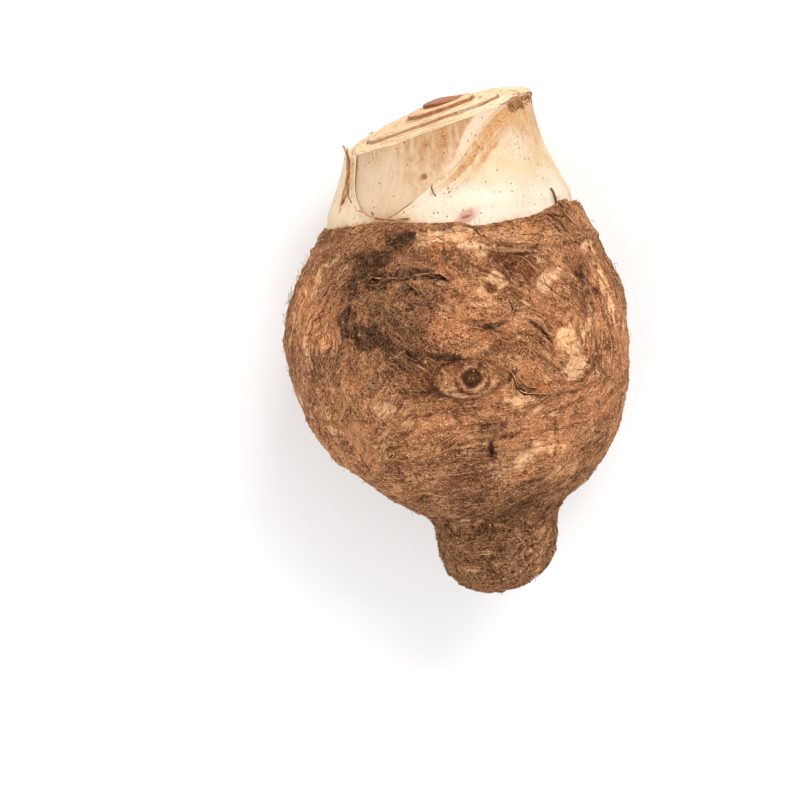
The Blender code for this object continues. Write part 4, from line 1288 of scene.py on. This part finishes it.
def mark_clasping(leaf):
    """Creases and stains beside the free edge, pale places that are partly sheltered and partly a painted
    highlight, and the pink flush at the foot.
    """
    height, turn, coarse, streaky = leaf.height, leaf.turn, leaf.coarse, leaf.streaky
    drop = np.where(leaf.has_edge, leaf.edge - height, NO_EDGE)
    strong = ease(104, 112, turn) * ease(128, 122, turn)
    brown = ease(0.6, 0.0, drop + 0.2 * leaf.noise) * (0.25 + 0.7 * strong) * ease(150, 140, turn)
    leaf.mark("browned", brown)
    places = np.stack([drop, np.radians(turn) * 6.0, 0 * drop], -1)
    lines = 0.5 + 0.5 * lumps(places, (0.9, 5.0, 1.0), 215, 3, 0.7)
    for away, wide, strength in CREASES:
        crease = hump(drop + 1.2 * coarse - away, wide) * ease(122, 104, turn)
        leaf.mark_wall("stain", crease * strength * 1.6 * ease(84, 78, height))
    # Pale low front of the leaf and a pale spot higher on its right: partly sheltered colour, partly a
    # painted highlight.
    belly = ease(61.0, 50.0, height + 4.0 * coarse) * ease(8, 26, turn) * ease(118, 96, turn)
    upper = ease(1.5, 0.3, np.hypot((turn - 44) / 12.0, (height - 66.0 - 2.0 * coarse) / 7.0))
    leaf.mark_wall("sheltered_and_highlight", np.maximum(belly, 0.55 * upper) * (0.75 + 0.25 * streaky))
    beside = ease(13.0, 2.0, drop + 4.0 * coarse) * ease(112, 84, turn) * (0.35 + 0.95 * lines)
    border = ease(56.0, 76.0, height + 6.0 * coarse) * ease(-12, 10, turn) * ease(70, 46, turn)
    leaf.mark_wall("stain", np.clip(np.maximum(beside, border * (0.45 + 0.6 * streaky)), 0, 1))
    leaf.mark_wall("stain", ease(140, 150, turn) * ease(56, 47, height + 3 * coarse) * streaky * 0.4)
    right, up = (turn - 83.0) * -0.76, height - 44.6
    leaf.mark("flush", ease(1.2, 0.45, np.hypot((right - 0.6 * up) / 4.2, up / 2.6) + 0.25 * leaf.noise))
    leaf.mark("browned", 0.95 * ease(1.1, 0.3, np.hypot((right - 1.4 * up) / 2.2, up / 0.9)))
    foot_fray = ease(2.4, 0.2, height - rim_height(np.radians(turn)) + 1.2 * leaf.noise)
    leaf.mark("stain", 0.85 * foot_fray * (0.35 + 0.5 * (turn > 95)))


def mark_inner(leaf):
    """Weather stains on an inner stalk, and the pale strip where the outermost leaf has drawn back."""
    height, turn, coarse = leaf.height, leaf.turn, leaf.coarse
    climb = np.where(leaf.has_edge, height - leaf.edge, 0.0)
    wide = 2.4 + 5.2 * ease(60.0, 75.0, height)
    strip = ease(wide + 0.7, wide - 0.7, climb + 0.4 * leaf.noise) * ease(-0.6, 0.3, climb) * leaf.has_edge
    strip = strip * ease(58, 64, height) * ease(20, 30, turn) * ease(100, 86, turn)
    leaf.mark_wall("sheltered_and_highlight", strip * 0.9)
    leaf.mark_wall("sheltered_and_highlight", 0.40 * ease(104, 132, turn + 8.0 * coarse) * ease(0.0, 9.0, leaf.below_cut))
    weather = ease(30.0, 0.0, leaf.below_cut + 6.0 * coarse) * ease(150, 92, turn + 8 * coarse)
    leaf.mark_wall("stain", weather * (0.35 + 0.75 * leaf.streaky) * (1 - leaf.marks["sheltered_and_highlight"]))
    line = hump(climb - wide, 0.5) * ease(66, 72, height) * leaf.has_edge * (turn < 80)
    leaf.mark_wall("stain", 0.6 * line)


def heart_leaf(material):
    """The youngest leaf, a rod with a softly domed top."""
    around, levels = 120, 14
    outline = LEAF_OUTLINES[-1]
    angles = around_leaf(around)
    proud = HEART_PROUD - HEART_LEVEL * outline[2] * np.cos(angles)
    walls = leaf_wall(outline, angles, 0.30, np.full(around, NO_EDGE), proud, levels)
    centre = walls[-1].mean(0)
    rings = [walls]
    for share in (0.92, 0.7, 0.45, 0.2):
        ring = centre + (walls[-1] - centre) * share
        ring[:, 1] = walls[-1][:, 1] * share + centre[1] * (1 - share) + 0.9 * (1 - share**2)
        ring[:, 1] += 0.12 * lumps(ring, 2.0, 221, 2)
        rings.append(ring[None])
    grid = np.concatenate(rings)
    points, triangles = capped_grid(grid, walls[0].mean(0), grid[-1].mean(0) + (0, 0.05, 0))
    marks = {mark: np.zeros(len(points)) for mark in LEAF_MARKS}
    marks["browned"][(levels - 2) * around:levels * around] = 0.75
    marks["stain"] = 0.6 * (0.5 + 0.5 * lumps(points * (1, 0, 1), (9.0, 1.0, 1.2), 222, 2))
    return mesh_piece("heart_leaf_top", points, triangles, material, marks, ("heart_leaf",))


# ---------------------------------------------------------------- strands

DIMMED_MOST = 0.55     # how much a strand darkens where it crosses the hair mat's dark patches: painted shade of the mat's hollows
LAID_POINTS, LAID_SIDES, THREAD_POINTS = 22, 7, 16
CAST_FROM = 90.0       # rays start this far out from the middle of the leaf bundle


def strand_paths(skin, rows, columns, length, steps, draw, curl, lift, loose, wander):
    """Paths of strands that start on the skin and follow its grain, curling and lifting as they go.

    lift is the height at rest, the height of the waves and how far the tip stands off;
    loose is the share of strands that ignore the grain.
    """
    count = len(rows)
    seg = length / (steps - 1)
    r, c = rows.astype(float), columns.astype(float)
    bend = draw.normal(0, 1, count) * curl
    lean = np.radians(draw.normal(0, wander, count)) + (draw.random(count) < 0.5) * math.pi
    lean = lean + (draw.random(count) < loose) * draw.random(count) * 2 * math.pi
    phase = draw.random(count) * 2 * math.pi
    path, normals = np.zeros((steps, count, 3)), np.zeros((steps, count, 3))
    dimmed = np.zeros((steps, count))
    last = None
    for k in range(steps):
        share = k / (steps - 1)
        rise = lift[0] + lift[1] * (0.5 + 0.5 * np.sin(phase + share * 7.0)) + lift[2] * share**2
        normals[k] = unit(sample(skin.grid_normal, r, c))
        path[k] = sample(skin.grid, r, c) + normals[k] * rise[:, None]
        # Painted shade: strands are darker where they cross the hair mat's dark patches.
        dimmed[k] = DIMMED_MOST * sample(skin.marks["tangle"], r, c)
        here = skin.nearest(r, c)
        last = skin.grain[here] if last is None else onward(skin.grain[here], last)
        bend = bend + draw.normal(0, 1, count) * curl * 0.5
        lean = lean + np.radians(bend * seg)
        r, c = skin.step(r, c, here, last + lean, seg)
        r = np.clip(r, 1, len(skin.along) - 1.01)
    return path, normals, dimmed


def strand_piece(name, strands, material, sides=3):
    """Thin strands as one piece; each group is (path, normals, darkening), its radii and its tones."""
    all_points, all_faces, all_tones, offset = [], [], [], 0
    for (path, normals, dimmed), thick, tone in strands:
        steps, count = path.shape[:2]
        side = unit(np.cross(unit(np.gradient(path, axis=0)), normals))
        up = np.cross(side, unit(np.gradient(path, axis=0)))
        taper = np.ones(steps)
        taper[0], taper[-1] = 0.75, 0.25
        size = (thick[None, :] * taper[:, None])[..., None]
        ring = []
        for k in range(sides):
            a = 2 * math.pi * k / sides + math.pi / 2
            ring.append(path + size * (math.cos(a) * side + math.sin(a) * up))
        base = np.arange(count)[:, None, None] * steps * sides
        s = np.arange(steps - 1)[None, :, None] * sides
        k = np.arange(sides)[None, None, :]
        here, beside = base + s + k, base + s + (k + 1) % sides
        quads = np.stack([here, beside, beside + sides, here + sides], -1).reshape(-1, 4)
        faces = [quads[:, [0, 1, 2]], quads[:, [0, 2, 3]]]
        start, end = base[:, 0, 0], base[:, 0, 0] + (steps - 1) * sides
        for n in range(1, sides - 1):
            faces.append(np.stack([start + n + 1, start + n, start], -1))
            faces.append(np.stack([end, end + n, end + n + 1], -1))
        all_faces.append(np.concatenate(faces) + offset)
        all_points.append(np.stack(ring, 2).transpose(1, 0, 2, 3).reshape(-1, 3))
        all_tones.append(np.repeat(tone[:, None] * (1 - dimmed.T), sides, axis=1).ravel())
        offset += count * steps * sides
    points = off_the_floor(np.concatenate(all_points), STRAND_GAP)
    return mesh_piece(name, points, np.concatenate(all_faces), material,
                      {"tone": np.concatenate(all_tones)})


def scatter(skin, draw, count, weight):
    """Rows and columns of random places on the skin, crowded where the weight is high."""
    chance = (skin.row_size * skin.column_size * weight).ravel()
    chance = np.cumsum(chance / chance.sum())
    picks = np.searchsorted(chance, draw.random(count))
    rows, columns = np.unravel_index(np.minimum(picks, chance.size - 1), skin.along.shape)
    return rows + draw.random(count) - 0.5, columns + draw.random(count) - 0.5


def between(limits, share):
    """The value that lies at a share of the way from the first limit to the second."""
    return limits[0] + (limits[1] - limits[0]) * share


STRANDS = {
    "bark_fibres": dict(seed=21, count=1600, length=6.5, steps=8, curl=3.5, lift=(-0.02, 0.12, 0.0),
                        thick=(0.035, 0.08), light=(0.7, 1.0), dark=(0.0, 0.2), light_share=0.55,
                        loose=0.12, wander=12.0),
    "bark_slivers": dict(seed=25, count=750, length=11.0, steps=9, curl=2.0, lift=(0.0, 0.22, 0.1),
                         thick=(0.05, 0.13), light=(0.7, 1.0), dark=(0.0, 0.2), light_share=0.6,
                         loose=0.18, wander=16.0),
    "matted_hair": dict(seed=22, count=1800, length=9.0, steps=11, curl=13.0, lift=(0.03, 0.55, 0.3),
                        thick=(0.035, 0.08), light=(0.6, 1.0), dark=(0.0, 0.2), light_share=0.50,
                        loose=0.45, wander=30.0),
    "foot_fuzz": dict(seed=23, count=3300, length=3.2, steps=6, curl=20.0, lift=(0.0, 0.32, 0.25),
                      thick=(0.06, 0.13), light=(0.4, 0.8), dark=(0.0, 0.3), light_share=0.45,
                      loose=0.8, wander=20.0),
    "rim_fringe": dict(seed=26, count=900, length=3.6, steps=7, curl=10.0, lift=(0.05, 0.3, 0.35),
                       thick=(0.06, 0.15), light=(0.55, 1.0), dark=(0.05, 0.4), light_share=0.65,
                       loose=0.45, wander=22.0),
    "stray_hairs": dict(seed=24, count=240, length=5.5, steps=9, curl=24.0, lift=(0.1, 0.4, 1.5),
                        thick=(0.05, 0.09), light=(0.3, 0.7), dark=(0.0, 0.3), light_share=0.3,
                        loose=1.0, wander=30.0)}


def grow_strands(skin, name, material, weight):
    """One piece of strands in three lengths, crowded where the weight is high."""
    kind = STRANDS[name]
    fields = lumps(skin.base, 4.0, kind["seed"] + 50, 3)
    draw = np.random.default_rng(kind["seed"])
    count = kind["count"] // 3
    groups = []
    for share in (0.45, 0.75, 1.0):
        rows, columns = scatter(skin, draw, count, weight)
        paths = strand_paths(skin, rows, columns, kind["length"] * share, kind["steps"], draw, kind["curl"],
                             kind["lift"], kind["loose"], kind["wander"])
        size = between(kind["thick"], draw.random(count) ** 1.5)
        pick = draw.random(count)
        is_light = draw.random(count) < kind["light_share"]
        tone = np.where(is_light, between(kind["light"], pick), between(kind["dark"], pick))
        groups.append((paths, size, np.clip(tone + 0.30 * sample(fields, rows, columns), 0.0, 1.0)))
    return strand_piece(name, groups, material)


def on_stalk(tree, along, degrees, lift, least):
    """Places over the leaf bases, or the skin below them, and their way out.

    least keeps them out at that share of the stalk's full radius where its outermost leaf is gone.
    """
    way = np.stack([np.cos(np.radians(degrees)), 0 * along, np.sin(np.radians(degrees))], -1)
    reach = []
    for height, out in zip(along, way):
        outside = Vector((STEM_SHIFT, height, 0.0)) + Vector(out) * CAST_FROM
        hit = tree.ray_cast(outside, -Vector(out))
        far = CAST_FROM - hit[3] if hit[0] is not None else 0.0
        reach.append(far if far > 0.6 * STEM_TOP_RADIUS or not reach else reach[-1])
    radius = smoothed(np.maximum(reach, stem_radius(along) * least)) + lift
    return from_stem(radius * way[:, 0], along, radius * way[:, 2]), way


def laid_strands(name, lines, material, tree, least=0.0):
    """Thicker dried strands on the stalk: each is (radius, tone, path of (along, degrees, lift))."""
    groups = []
    for n, (radius, tone, line) in enumerate(lines):
        along, degrees, lift = columns_along(line, LAID_POINTS)
        wobble = lumps(np.stack([along, degrees * 0.7, 0 * along], -1), 3.0, 401 + n, 2)
        point, way = on_stalk(tree, along, degrees + 1.2 * wobble, lift, least)
        groups.append(single_strand(point, way, radius, tone))
    return strand_piece(name, groups, material, LAID_SIDES)


def single_strand(points, normals, radius, tone):
    """One path as a group of strands by itself, not darkened."""
    paths = points[:, None], normals[:, None], np.zeros((len(points), 1))
    return paths, np.array([radius]), np.array([tone])


DRIED_STRIP = (  # each strand: radius, tone, path of (along, degrees round, lift)
    (0.45, 0.55, ((73, 161, 2.2), (69, 158, 1), (62, 156, 0.4), (54, 154, 0.2))),
    (0.4, 0.3, ((71, 158, 1.4), (66, 155.5, 0.5), (60, 154.5, 0.2), (52.5, 154.5, 0))),
    (0.3, 0.75, ((72, 158.5, 1), (65, 156.8, 0.6), (58, 155, 0.3), (50, 155, 0))),
    (0.25, 0.85, ((68, 153, 0.4), (62, 152, 0.2), (56, 152.5, 0.1))),
    (0.22, 0.2, ((60, 151.6, 0.3), (56, 149, 0.3), (53, 144.5, 0.3))),
    (0.35, 0.25, ((49.5, 128, 0.3), (46.8, 122, 0.5), (46.2, 116, 0.4), (46, 108, 0.3))),
    (0.28, 0.6, ((50.5, 136, 0.2), (48, 128, 0.4), (46.6, 118, 0.6), (45.4, 110, 0.5))),
    (0.22, 0.8, ((52, 142, 0.2), (49.5, 134, 0.3), (47.2, 124, 0.6))))
ROOT_STRAND = (
    (0.42, 0.16, ((50.5, 33, 0.4), (47, 32.6, 0.5), (44, 33.4, 1.2), (41.5, 33.6, 0.9))),
    (0.3, 0.5, ((46, 32.8, 1), (41.5, 33.4, 0.9), (37, 31, 0.4), (33, 27.5, 0.2))),
    (0.3, 0.1, ((42.5, 43.6, 0.5), (39.6, 40, 0.8), (37.6, 38.6, 0.4), (35, 38.2, 0.1))),
    (0.24, 0.12, ((42, 42.6, 0.6), (41, 37.4, 0.6), (40.6, 34.6, 0.3))),
    (0.22, 0.15, ((56.4, 97.8, 0.1), (54, 96.8, 0.2), (52.4, 95.6, 0.1))))


def tip_fray():
    """Short frayed fibres on the outermost leaf's browned tip, and a dark scrap on the cut's far rim."""
    draw = np.random.default_rng(31)
    lines = []
    for _ in range(34):
        degrees = 8.0 + 30.0 * draw.random()
        turn = math.radians(degrees)
        top = float(cut_surface(STEM_TOP_RADIUS * math.cos(turn), STEM_TOP_RADIUS * math.sin(turn)))
        top = min(top, float(free_edge(np.array(turn))))
        low, lean = top - 1.2 - 2.6 * draw.random(), draw.normal(0, 2.0)
        path = ((low, degrees, 0.0), (low + 0.8, degrees + lean, 0.12),
                (low + 1.5, degrees + 2 * lean, 0.15))
        lines.append((0.10 + 0.10 * draw.random(), 0.5 * draw.random(), path))
    for shift in (0.0, 0.8, 1.6):
        path = ((75.4 - 0.2 * shift, 223.0 + shift, 0.3), (76.3, 225.0 + shift, 0.7),
                (76.2 - 0.5 * shift, 228.0 + shift, 0.5))
        lines.append((0.42, 0.05, path))
    return lines


def crack_threads(skin):
    """Dark threads that lie along the cracks of the bark, some with a pale one beside them."""
    draw = np.random.default_rng(32)
    groups = []
    for wide, deep, path in CRACKS:
        if deep < 0.6:
            continue
        for side, tone in ((-0.3, 0.0), (0.35, 0.05), (1.0, 0.9)):
            if tone > 0.5 and draw.random() < 0.5:
                continue
            along, degrees = columns_along(path, THREAD_POINTS, 0.06, 0.94)
            wobble = lumps(np.stack([along, degrees, 0 * along + side], -1), 3.0, 33, 2)
            along = along + side * wide * 0.5 + 0.25 * wobble
            spots = [np.unravel_index(np.argmin(np.hypot(*skin.from_spot(a, d))), skin.along.shape)
                     for a, d in zip(along, degrees)]
            normal = np.array([skin.grid_normal[k] for k in spots])
            point = smoothed(smoothed(np.array([skin.grid[k] for k in spots])))
            groups.append(single_strand(point + normal * 0.10, normal, 0.10 + 0.09 * wide, tone))
    return groups


OCTAHEDRON = ((1, 0, 0), (-1, 0, 0), (0, 1, 0), (0, -1, 0), (0, 0, 1), (0, 0, -1))
OCTAHEDRON_FACES = ((0, 2, 4), (2, 1, 4), (1, 3, 4), (3, 0, 4), (2, 0, 5), (1, 2, 5), (3, 1, 5), (0, 3, 5))


def crumbs(skin, material, weight):
    """Crumbs of soil: small uneven eight-sided lumps that sit on the skin."""
    draw, count = np.random.default_rng(27), 1500
    rows, columns = scatter(skin, draw, count, weight)
    centre, normal = sample(skin.grid, rows, columns), unit(sample(skin.grid_normal, rows, columns))
    radius = between((0.12, 0.42), draw.random(count) ** 2)
    stretch = 0.65 + 0.7 * draw.random((count, 6, 1))
    turn = np.linalg.qr(draw.normal(0, 1, (count, 3, 3)))[0]
    turn *= np.sign(np.linalg.det(turn))[:, None, None]
    points = (np.array(OCTAHEDRON, float)[None] * stretch) @ turn * radius[:, None, None]
    points = points + (centre + normal * radius[:, None] * 0.45)[:, None]
    faces = np.array(OCTAHEDRON_FACES)[None] + np.arange(count)[:, None, None] * 6
    points = off_the_floor(points.reshape(-1, 3), STRAND_GAP)
    return mesh_piece("soil_crumbs", points, faces.reshape(-1, 3), material,
                      {"tone": np.repeat(draw.random(count), 6)})


def all_strands(skin, tree, fibre_look, hair_look):
    """Every strand, thread and crumb that lies on the root."""
    foot = ease(-52.0, -60.0, skin.along)
    mark = skin.marks
    facing_up = 0.25 + 0.75 * np.clip(1.6 * skin.normal[..., 2] - 0.1, 0, 1)
    bare = (1 - 0.85 * mark["flesh"]) * (1 - 0.5 * mark["band"]) * (1 - 0.8 * mark["pit"])
    bare = bare * (1 - skin.spot(*EYE_BUD, 10.0, 6.5)) * facing_up
    flat = (1 - 0.7 * mark["plum"]) * (1 - 0.6 * mark["paper"])
    clumps = ease(-0.35, 0.25, lumps(skin.base, 5.0, 28, 3))
    matted = mark["hair"] * (0.2 + clumps) * bare * (1 - 0.8 * mark["tangle"]) + 0.0015
    left = ease(100, 150, np.degrees(skin.turn)) * ease(-10, 10, skin.along)
    rim = hump(skin.along - rim_height(skin.angles)[None, :] + 0.6, 1.4)
    grow_strands(skin, "bark_fibres", fibre_look, (1 - foot) * bare * (1 - 0.85 * mark["hair"]) * flat)
    grow_strands(skin, "bark_slivers", fibre_look, (1 - foot) * bare)
    grow_strands(skin, "matted_hair", hair_look, matted * (1 - skin.spot(*EYE_BUD, 9.0, 6.0)))
    grow_strands(skin, "foot_fuzz", fibre_look, ease(-46.0, -60.0, skin.along) + 0.01)
    grow_strands(skin, "rim_fringe", fibre_look, rim)
    laid_strands("dried_strip", DRIED_STRIP, fibre_look, tree, 0.99)
    laid_strands("root_strand", ROOT_STRAND, fibre_look, tree)
    laid_strands("frayed_tip", tip_fray(), fibre_look, tree)
    strand_piece("crack_threads", crack_threads(skin), hair_look)
    crumbs(skin, fibre_look, 0.5 + foot + 0.7 * mark["hair"])
    grow_strands(skin, "stray_hairs", hair_look, (0.12 + 1.5 * left) * (1 - 0.8 * mark["band"]))


# ---------------------------------------------------------------- stage

FLOOR_REACH = 3.0      # metres
FLOOR_GREYS = ((0.86, 0.86, 0.86, 1), (0.88, 0.88, 0.88, 1))
STUDIO_LIGHT = 0.78
SOFTBOXES = (  # name, place and size in metres, watts
    ("key", (0.45, 0.75, 1.05), (0.7, 0.7), 11.0), ("fill", (-0.75, -0.35, 1.0), (0.9, 0.9), 5.0),
    ("low_fill", (0.5, -1.0, 0.5), (0.8, 0.5), 4.0))
LIGHTS_AIM = Vector((0, 0, 0.05))


def stage():
    """A plain pale floor, plain light all round and three soft boxes."""
    scene = bpy.context.scene
    scene.view_settings.view_transform = "Standard"
    mesh = bpy.data.meshes.new("floor")
    corners = [(x * FLOOR_REACH, y * FLOOR_REACH, 0) for x, y in ((-1, -1), (1, -1), (1, 1), (-1, 1))]
    mesh.from_pydata(corners, [], [(0, 1, 2, 3)])
    floor = bpy.data.objects.new("floor", mesh)
    scene.collection.objects.link(floor)
    material, b, shader, place = new_material("pale floor", 0.9, 0.1)
    tone = b.span(b.noise(place, 6.0, 2.0, 0.5), 0.3, 0.7)
    b.feed(shader.inputs["Base Color"], b.mix(tone, *FLOOR_GREYS))
    mesh.materials.append(material)

    world = bpy.data.worlds.new("studio")
    world.use_nodes = True
    background = world.node_tree.nodes["Background"].inputs
    background["Color"].default_value = (1.0, 1.0, 1.0, 1.0)
    background["Strength"].default_value = STUDIO_LIGHT
    scene.world = world
    for name, spot, size, power in SOFTBOXES:
        light = bpy.data.lights.new(name, "AREA")
        light.shape, light.size, light.size_y = "RECTANGLE", *size
        light.energy = power
        lamp = bpy.data.objects.new(name, light)
        lamp.location = spot
        lamp.rotation_mode = "QUATERNION"
        lamp.rotation_quaternion = (LIGHTS_AIM - Vector(spot)).to_track_quat("-Z", "Y")
        scene.collection.objects.link(lamp)


SENSOR = 36.0
CAMERA_AWAY = 1.10                   # metres
CAMERA_PITCH, CAMERA_ROLL = math.radians(3.65), math.radians(6.5)
VIEW_WIDTH = 280.0                   # of what the camera sees at the root's own height
AIM_LEFT, AIM_DOWN = 19.95, 19.25    # from the axis to the middle of the view
PIVOT_HEIGHT = 59.0


def overhead_camera():
    """The camera looks down on the lying root, leaning a little towards its cut end."""
    scene = bpy.context.scene
    camera_data = bpy.data.cameras.new("camera")
    camera = bpy.data.objects.new("camera", camera_data)
    scene.collection.objects.link(camera)
    camera_data.sensor_width = SENSOR
    camera_data.lens = SENSOR * CAMERA_AWAY / (VIEW_WIDTH * MM)
    camera_data.clip_start, camera_data.clip_end = 0.05, 20.0
    pivot = Vector((0.0, 0.0, PIVOT_HEIGHT * MM))
    back = Vector((0, math.sin(CAMERA_PITCH), math.cos(CAMERA_PITCH)))
    top = Vector((0, math.cos(CAMERA_PITCH), -math.sin(CAMERA_PITCH)))
    side = Vector((1, 0, 0))
    right = side * math.cos(CAMERA_ROLL) - top * math.sin(CAMERA_ROLL)
    up = top * math.cos(CAMERA_ROLL) + side * math.sin(CAMERA_ROLL)
    place = pivot + back * CAMERA_AWAY
    aim = pivot - right * (AIM_LEFT * MM) - up * (AIM_DOWN * MM)
    ahead = (aim - place).normalized()
    right = (right - ahead * right.dot(ahead)).normalized()
    up = right.cross(ahead)
    camera.matrix_world = Matrix.Translation(place) @ Matrix((right, up, -ahead)).transposed().to_4x4()
    scene.camera = camera


# ---------------------------------------------------------------- assembly

overhead_camera()
stage()
skin_look = skin_material()
outer_look, stalk_look, inner_look, heart_look = [leaf_material(name) for name in LEAF_LOOKS]
fibre_look = strand_material("bark fibre", rgb(66, 35, 20), rgb(222, 166, 116))
hair_look = strand_material("root hair", rgb(36, 18, 11), rgb(246, 182, 132))

skin = Skin()
bark = corm_skin(skin, skin_look)
clasping = leaf_base(0, "outer_leaf", outer_look, 400, 64, 6, tree=skin.tree)
stalk = leaf_base(1, "second_leaf", stalk_look, 340, 56, 20)
leaf_base(2, "third_leaf", stalk_look, 260, 8, 24, proud=THIRD_PROUD)
leaf_base(3, "fourth_leaf", inner_look, 220, 8, 16, proud=FOURTH_PROUD)
heart_leaf(heart_look)
all_strands(skin, surface_tree((bark, clasping, stalk)), fibre_look, hair_look)
